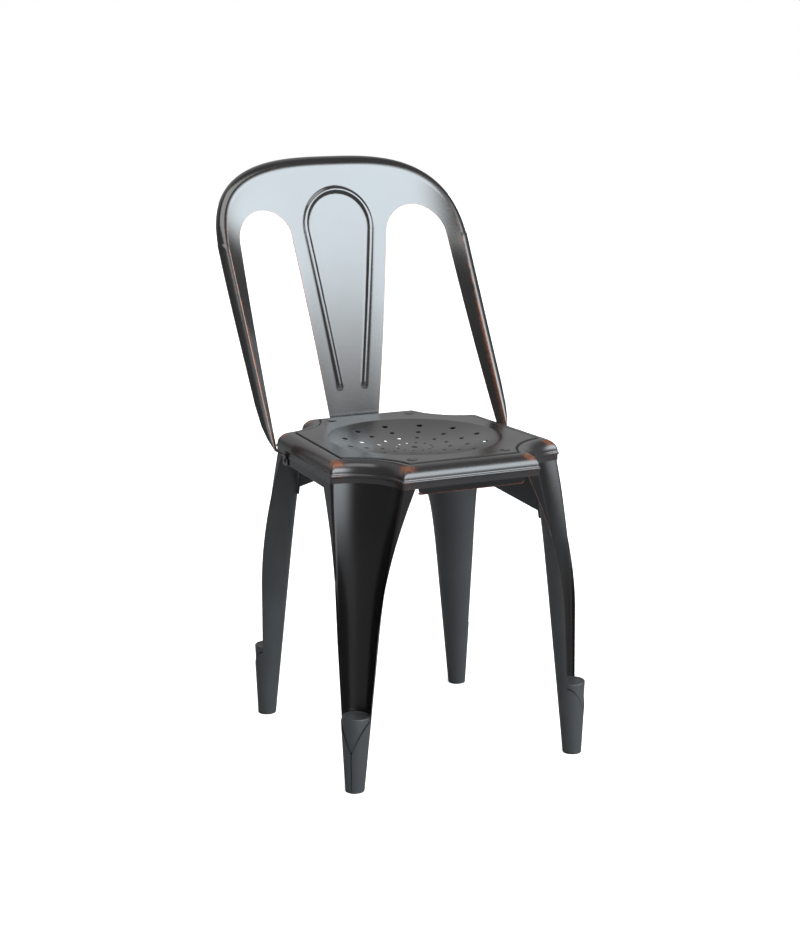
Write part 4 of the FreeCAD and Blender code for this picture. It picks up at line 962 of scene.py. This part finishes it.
def wear_and_shade_group():
    """Rubbed edges and painted shade: the piece's own wear value, broken up by noise, as masks for the
    finishes; its negative part is a mask of painted shade.
    """
    name = "Rubbed Edges and Painted Shade"
    if name in bpy.data.node_groups:
        return bpy.data.node_groups[name]
    group = bpy.data.node_groups.new(name, "ShaderNodeTree")
    group.interface.new_socket(name="Amount", in_out="INPUT", socket_type="NodeSocketFloat")
    desk = NodeDesk(group)
    inlet = desk.add("NodeGroupInput")
    place = desk.add("ShaderNodeTexCoord").outputs["Object"]
    wear_and_shade = desk.add("ShaderNodeAttribute", attribute_name="wear").outputs["Fac"]
    coarse = desk.noise(place, *COARSE_NOISE)
    fine = desk.noise(place, *FINE_NOISE)
    cloud = desk.noise(place, *CLOUD_NOISE)
    peel = desk.noise(place, *PEEL_NOISE)
    broken = desk.plus(desk.times(coarse, 1.5), desk.times(fine, 0.5))
    felt = desk.times(wear_and_shade, inlet.outputs["Amount"])
    spent = desk.times(felt, desk.maths("SUBTRACT", broken, 0.12))
    # The mask from the negative wear values is painted shade for recesses and hidden parts.
    masks = {"Bare": desk.ramp(spent, *BARE_RAMP), "Halo": desk.ramp(spent, *HALO_RAMP),
             "Mottle": desk.ramp(cloud, *CLOUD_RAMP), "Painted Shade": desk.ramp(desk.times(wear_and_shade, -1.0), *PAINTED_SHADE_RAMP),
             "Height": desk.plus(desk.times(peel, 0.4), cloud)}
    for mask in masks:
        group.interface.new_socket(name=mask, in_out="OUTPUT", socket_type="NodeSocketFloat")
    desk.add("NodeGroupOutput", masks)
    return group


def opaque(colour, shade=1.0):
    """A colour of three parts, shaded and with full alpha."""
    return tuple(part * shade for part in colour) + (1.0,)


def start_finish(name, amount):
    """A new material with its desk, its surface and the masks of the rubbed edges and the painted shade."""
    material = bpy.data.materials.new(name)
    desk = desk_for(material)
    surface = material.node_tree.nodes["Principled BSDF"]
    edges = desk.add("ShaderNodeGroup", node_tree=wear_and_shade_group())
    edges.inputs["Amount"].default_value = amount
    desk.feed(surface.inputs["Normal"], desk.bump(edges.outputs["Height"], strength=0.05, distance=0.002))
    return material, desk, surface, edges.outputs


def bronze_finish(name, amount, shade, roughness, index):
    """Near-black bronze lacquer that is rubbed through to copper on its edges, with its colour scaled by
    shade and painted shade laid in its recesses.
    """
    look = bpy.context.scene.chair_finish
    material, desk, surface, masks = start_finish(name, amount)
    body = desk.blend(masks["Mottle"], opaque(look.lacquer, shade), opaque(look.lacquer_warm, shade))
    haze = desk.blend(desk.times(masks["Halo"], 0.75), body, opaque(look.halo))
    rubbed = desk.blend(masks["Bare"], haze, opaque(look.copper))
    # Painted shade: the colour goes to near black where the wear value is negative.
    desk.feed(surface.inputs["Base Color"], desk.blend(masks["Painted Shade"], rubbed, PAINTED_SHADE))
    desk.feed(surface.inputs["Metallic"], desk.times(masks["Bare"], 0.6))
    rough = desk.plus(roughness, desk.times(masks["Bare"], 0.12))
    rough = desk.plus(rough, desk.times(masks["Mottle"], 0.05))
    rough = desk.plus(rough, desk.times(masks["Painted Shade"], 0.7), clamp=True)
    desk.feed(surface.inputs["Roughness"], rough)
    surface.inputs["IOR"].default_value = index
    return material


def satin_finish(name):
    """Dark grey satin paint with a soft clouding, on the legs' inner faces and the feet, with painted shade
    laid where the wear value is negative.
    """
    look = bpy.context.scene.chair_finish
    material, desk, surface, masks = start_finish(name, look.wear * 0.8)
    body = desk.blend(masks["Mottle"], opaque(look.satin), opaque(look.satin, 1.25))
    haze = desk.blend(desk.times(masks["Halo"], 0.8), body, opaque(look.halo))
    # Painted shade: the colour goes to near black where the wear value is negative.
    desk.feed(surface.inputs["Base Color"], desk.blend(masks["Painted Shade"], haze, SATIN_PAINTED_SHADE))
    rough = desk.plus(0.42, desk.times(masks["Mottle"], 0.08))
    rough = desk.plus(rough, desk.times(masks["Painted Shade"], 0.5), clamp=True)
    desk.feed(surface.inputs["Roughness"], rough)
    return material


def rubber_finish(name):
    """Black rubber with a fine moulded grain."""
    material = bpy.data.materials.new(name)
    desk = desk_for(material)
    surface = material.node_tree.nodes["Principled BSDF"]
    grain = desk.noise(desk.add("ShaderNodeTexCoord").outputs["Object"], *RUBBER_NOISE)
    desk.feed(surface.inputs["Base Color"], desk.blend(grain, RUBBER_DARK, RUBBER_PALE))
    surface.inputs["Roughness"].default_value = 0.62
    desk.feed(surface.inputs["Normal"], desk.bump(grain, strength=0.15, distance=0.0005))
    return material


def finish_named(name):
    """The material of that name, made the first time it is asked for."""
    if name in bpy.data.materials:
        return bpy.data.materials[name]
    if name == "Satin Grey":
        return satin_finish(name)
    if name == "Glide Rubber":
        return rubber_finish(name)
    look = bpy.context.scene.chair_finish
    # Columns: wear amount, shade, added roughness and refractive index. The shade is painted light: the pan's
    # lacquer is 1.6 times lighter and the legs' and aprons' 0.45 times darker, as lit and shaded copies of
    # one lacquer.
    amount, shade, rougher, index = {
        "Aged Bronze": (look.wear, 1.0, 0.0, look.index),
        "Aged Bronze Pan With Painted Light": (look.wear, 1.6, 0.08, 1.6),
        "Aged Bronze Legs With Painted Shade": (look.wear * 0.9, 0.45, 0.08, 1.5),
        "Dark Fixings": (0.6, 1.3, 0.1, 1.5),
    }[name]
    return bronze_finish(name, amount, shade, look.gloss + rougher, index)


def dress(piece, *finishes):
    """Give a piece its finish, or one for the drawn side and one for the side behind it."""
    places = np.zeros(len(piece.data.polygons), dtype=np.int32)
    piece.data.polygons.foreach_get("material_index", places)
    piece.data.materials.clear()
    for finish in finishes:
        piece.data.materials.append(finish_named(finish))
    piece.data.polygons.foreach_set("material_index", places)


# Settings that a user may change

def colour_setting(name, description, default):
    """A colour of three parts."""
    return bpy.props.FloatVectorProperty(name=name, description=description, subtype="COLOR", size=3,
                                         min=0, max=1, default=default)


class ChairFinish(bpy.types.PropertyGroup):
    lacquer: colour_setting("Lacquer", "Colour of the dark bronze lacquer", (0.010, 0.0095, 0.0100))
    lacquer_warm: colour_setting(
        "Warm Lacquer", "Colour of the browner clouds in the lacquer", (0.013, 0.0105, 0.0100))
    halo: colour_setting("Halo", "Colour of the thinned lacquer beside bare metal", (0.060, 0.022, 0.015))
    satin: colour_setting("Satin", "Colour of the satin paint inside the legs", (0.030, 0.031, 0.0315))
    copper: colour_setting("Copper", "Colour of the metal where it is rubbed bare", (0.25, 0.095, 0.052))
    wear: bpy.props.FloatProperty(
        name="Wear", description="How far the edges are rubbed", subtype="FACTOR", min=0, max=2, default=1.0)
    gloss: bpy.props.FloatProperty(
        name="Roughness", description="Roughness of the lacquer", subtype="FACTOR",
        min=0, max=1, default=0.14)
    index: bpy.props.FloatProperty(
        name="Refraction", description="Refractive index of the lacquer", min=1, max=3, default=1.8)


class ChairStage(bpy.types.PropertyGroup):
    window: bpy.props.FloatProperty(
        name="Window", description="Level of the large soft window in front", min=0, default=9.0)
    glow: bpy.props.FloatProperty(
        name="Glow", description="Level of the soft glow behind", min=0, default=0.4)
    sky: bpy.props.FloatProperty(
        name="Sky", description="Level of the even light from all round", min=0, max=2, default=0.2)
    overhead: bpy.props.FloatProperty(
        name="Overhead", description="Power of the soft lamp above", subtype="POWER", min=0, default=25.0)


# Operators

class MakeSeatPan(bpy.types.Operator):
    """Press the seat pan with its dish, drain holes, grooved panel and rolled rim"""

    bl_idname = "bistro_chair.seat_pan"
    bl_label = "Seat Pan"

    def execute(self, context):
        dress(new_piece("seat_pan_sheet", seat_pan_grids(), ["seat_pan"],
                        thickness=SHEET, facing=(0, 0, 1)), "Aged Bronze Pan With Painted Light")
        dress(new_piece("seat_rivet_heads", rivet_grids(), ["seat_rivets"],
                        facing=(0, 0, 1)), "Aged Bronze Pan With Painted Light")
        return {"FINISHED"}


class MakeBackShell(bpy.types.Operator):
    """Press the one-piece back with its openings, rib, rolled edge and bolted feet"""

    bl_idname = "bistro_chair.back_shell"
    bl_label = "Back Shell"

    def execute(self, context):
        dress(new_piece("back_shell_sheet", back_shell_grids(), ["back_shell"],
                        thickness=SHEET, facing=(0, -1, 0), split=62.0, weld=0.05), "Aged Bronze")
        return {"FINISHED"}


class MakeLegs(bpy.types.Operator):
    """Fold the four gutter legs with their notched feet"""

    bl_idname = "bistro_chair.legs"
    bl_label = "Legs"

    def execute(self, context):
        for corner, side, rear in CORNERS:
            outwards = Vector((side, 1 if rear else -1, 0))
            dress(new_piece("leg_gutter_" + corner, gutter_grids(side, rear),
                            ["leg_" + corner], thickness=SHEET, facing=-outwards, two_sided=True),
                  "Satin Grey", "Aged Bronze Legs With Painted Shade")
            dress(new_piece("leg_lips_" + corner, lip_grids(side, rear), [],
                            thickness=LIP_WALL, facing=outwards), "Satin Grey")
        return {"FINISHED"}


class MakeFeet(bpy.types.Operator):
    """Turn the foot plugs and the rubber glides"""

    bl_idname = "bistro_chair.feet"
    bl_label = "Feet"

    def execute(self, context):
        wall, wear_and_shade = plug_profile()
        for corner, side, rear in CORNERS:
            place = foot_place(side, rear)
            plug = turned_grid(wall, place, foot_axis(side, rear))
            dress(new_piece("foot_plug_turned_" + corner, [(plug, wear_and_shade, True)],
                            ["foot_plug_" + corner]), "Satin Grey")
            dress(new_piece("glide_turned_" + corner, [(turned_grid(glide_profile(), place), 0.0, True)],
                            ["glide_" + corner]), "Glide Rubber")
        return {"FINISHED"}


class MakeAprons(bpy.types.Operator):
    """Fold the four apron rails under the rim"""

    bl_idname = "bistro_chair.aprons"
    bl_label = "Aprons"

    def execute(self, context):
        for name in OUTSIDE:
            points, wear_and_shade = apron_grid(APRON_DROP[name], APRON_HALF[name], APRON_SLANT)
            dress(new_piece("apron_rail_" + name, [(placed_apron(points, name), wear_and_shade, False)],
                            ["apron_" + name], thickness=APRON_GAUGE, facing=OUTSIDE[name]),
                  "Aged Bronze Legs With Painted Shade")
        return {"FINISHED"}


class FinishFixings(bpy.types.Operator):
    """Give the braces, bolts and nuts their finish"""

    bl_idname = "bistro_chair.fixings"
    bl_label = "Braces and Fixings"

    def execute(self, context):
        for name in ("cross_brace_left", "cross_brace_right"):
            dress(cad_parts[name], "Satin Grey")
        for name in ("stile_bolts", "stile_nuts", "splat_bolts", "splat_nuts"):
            dress(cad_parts[name], "Dark Fixings")
        return {"FINISHED"}


def soft_lamp(name, place, aim, size, power, tint):
    """An area lamp that faces a point."""
    lamp = bpy.data.lights.new(name, "AREA")
    lamp.shape = "RECTANGLE"
    lamp.size, lamp.size_y = size
    lamp.energy = power
    lamp.color = tint
    holder = add_object(name, lamp)
    holder.location = place
    holder.rotation_euler = (Vector(aim) - Vector(place)).to_track_quat("-Z", "Y").to_euler()


class SetStage(bpy.types.Operator):
    """Set the pale floor, the sky with its soft window and glow, the overhead lamp and the camera"""

    bl_idname = "bistro_chair.stage"
    bl_label = "Stage"

    def execute(self, context):
        scene = context.scene
        scene.view_settings.view_transform = "Standard"
        stage = scene.chair_stage
        self.make_floor()
        self.make_sky(scene, stage)
        soft_lamp("overhead_softbox", place=(-0.6, -0.6, 3.0), aim=(0, 0, 0.4), size=(2.0, 1.4),
                  power=stage.overhead, tint=LAMP_TINT)
        self.make_camera(scene)
        return {"FINISHED"}

    def make_floor(self):
        """A pale matt floor that glows for the camera and looks darker in the lacquer."""
        mesh = bpy.data.meshes.new("studio_floor")
        reach = FLOOR_REACH
        mesh.from_pydata([(-reach, -reach, 0), (reach, -reach, 0), (reach, reach, 0), (-reach, reach, 0)],
                         [], [(0, 1, 2, 3)])
        floor = add_object("studio_floor", mesh)
        material = bpy.data.materials.new("Pale Floor")
        desk = desk_for(material)
        material.node_tree.nodes.clear()
        rays = desk.add("ShaderNodeLightPath").outputs
        matt = desk.add("ShaderNodeBsdfDiffuse", {"Color": FLOOR_TINT})
        shade = desk.add("ShaderNodeBsdfDiffuse", {"Color": FLOOR_IN_GLOSS})
        strength = desk.times(rays["Is Camera Ray"], FLOOR_GLOW)
        glow = desk.add("ShaderNodeEmission", {"Color": WHITE, "Strength": strength})
        feeds = {0: rays["Is Glossy Ray"], 1: matt.outputs[0], 2: shade.outputs[0]}
        mirrored = desk.add("ShaderNodeMixShader", feeds)
        both = desk.add("ShaderNodeAddShader", {0: mirrored.outputs[0], 1: glow.outputs[0]})
        desk.add("ShaderNodeOutputMaterial", {"Surface": both.outputs[0]})
        floor.data.materials.append(material)

    def make_sky(self, scene, stage):
        """An even sky with one large soft window in front and a fainter glow behind."""
        world = bpy.data.worlds.new("Studio Sky")
        scene.world = world
        desk = desk_for(world)
        ground = world.node_tree.nodes["Background"].inputs
        way = desk.add("ShaderNodeSeparateXYZ", {0: desk.add("ShaderNodeTexCoord").outputs["Generated"]})
        x, y, z = way.outputs
        turn = desk.maths("ARCTAN2", x, desk.times(y, -1.0))
        rise = desk.maths("ARCSINE", z)
        window = desk.window(turn, rise, WINDOW_TURN, WINDOW_RISE)
        glow = desk.window(desk.maths("ABSOLUTE", turn), rise, GLOW_TURN, GLOW_RISE)
        level = desk.plus(desk.times(window, stage.window), desk.times(glow, stage.glow))
        level = desk.plus(level, stage.sky)
        seen = desk.add("ShaderNodeLightPath").outputs["Is Camera Ray"]
        hidden = desk.maths("SUBTRACT", 1.0, seen)
        desk.feed(ground["Strength"], desk.plus(desk.times(level, hidden), seen))
        desk.feed(ground["Color"], desk.blend(desk.times(window, hidden), WHITE, WINDOW_TINT))

    def make_camera(self, scene):
        """The camera that took the photograph."""
        data = bpy.data.cameras.new("photo_camera")
        data.sensor_width = SENSOR
        data.lens = PHOTO_FOCAL * SENSOR / PHOTO_LONG_SIDE
        data.clip_start = 0.05
        data.clip_end = 60
        camera = add_object("photo_camera", data)
        level = math.cos(CAMERA_TILT)
        forward = Vector((math.sin(CAMERA_TURN) * level, math.cos(CAMERA_TURN) * level,
                          -math.sin(CAMERA_TILT)))
        x, y, z = CAMERA_PLACE
        camera.location = Vector((x, y + DISH_Y, z)) * MM
        camera.rotation_euler = forward.to_track_quat("-Z", "Y").to_euler()
        scene.camera = camera


class ChairPanel(bpy.types.Panel):
    """Lists the steps that build the chair"""

    bl_idname = "VIEW3D_PT_bistro_chair"
    bl_label = "Bistro Chair"
    bl_space_type = "VIEW_3D"
    bl_region_type = "UI"
    bl_category = "Bistro Chair"

    def draw(self, context):
        column = self.layout.column(align=True)
        for maker in MAKERS:
            column.operator(maker.bl_idname)
        for group in (context.scene.chair_finish, context.scene.chair_stage):
            box = self.layout.box()
            for name in group.__annotations__:
                box.prop(group, name)


GROUPS = (ChairFinish, ChairStage)
MAKERS = (MakeSeatPan, MakeBackShell, MakeLegs, MakeFeet, MakeAprons, FinishFixings, SetStage)


def register():
    for group in GROUPS:
        bpy.utils.register_class(group)
    bpy.types.Scene.chair_finish = bpy.props.PointerProperty(type=ChairFinish)
    bpy.types.Scene.chair_stage = bpy.props.PointerProperty(type=ChairStage)
    for maker in MAKERS:
        bpy.utils.register_class(maker)
    bpy.utils.register_class(ChairPanel)


def unregister():
    bpy.utils.unregister_class(ChairPanel)
    for maker in reversed(MAKERS):
        bpy.utils.unregister_class(maker)
    del bpy.types.Scene.chair_stage
    del bpy.types.Scene.chair_finish
    for group in reversed(GROUPS):
        bpy.utils.unregister_class(group)


def main():
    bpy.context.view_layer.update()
    register()
    for maker in MAKERS:
        family, step = maker.bl_idname.split(".")
        getattr(getattr(bpy.ops, family), step)()


if __name__ == "__main__":
    main()
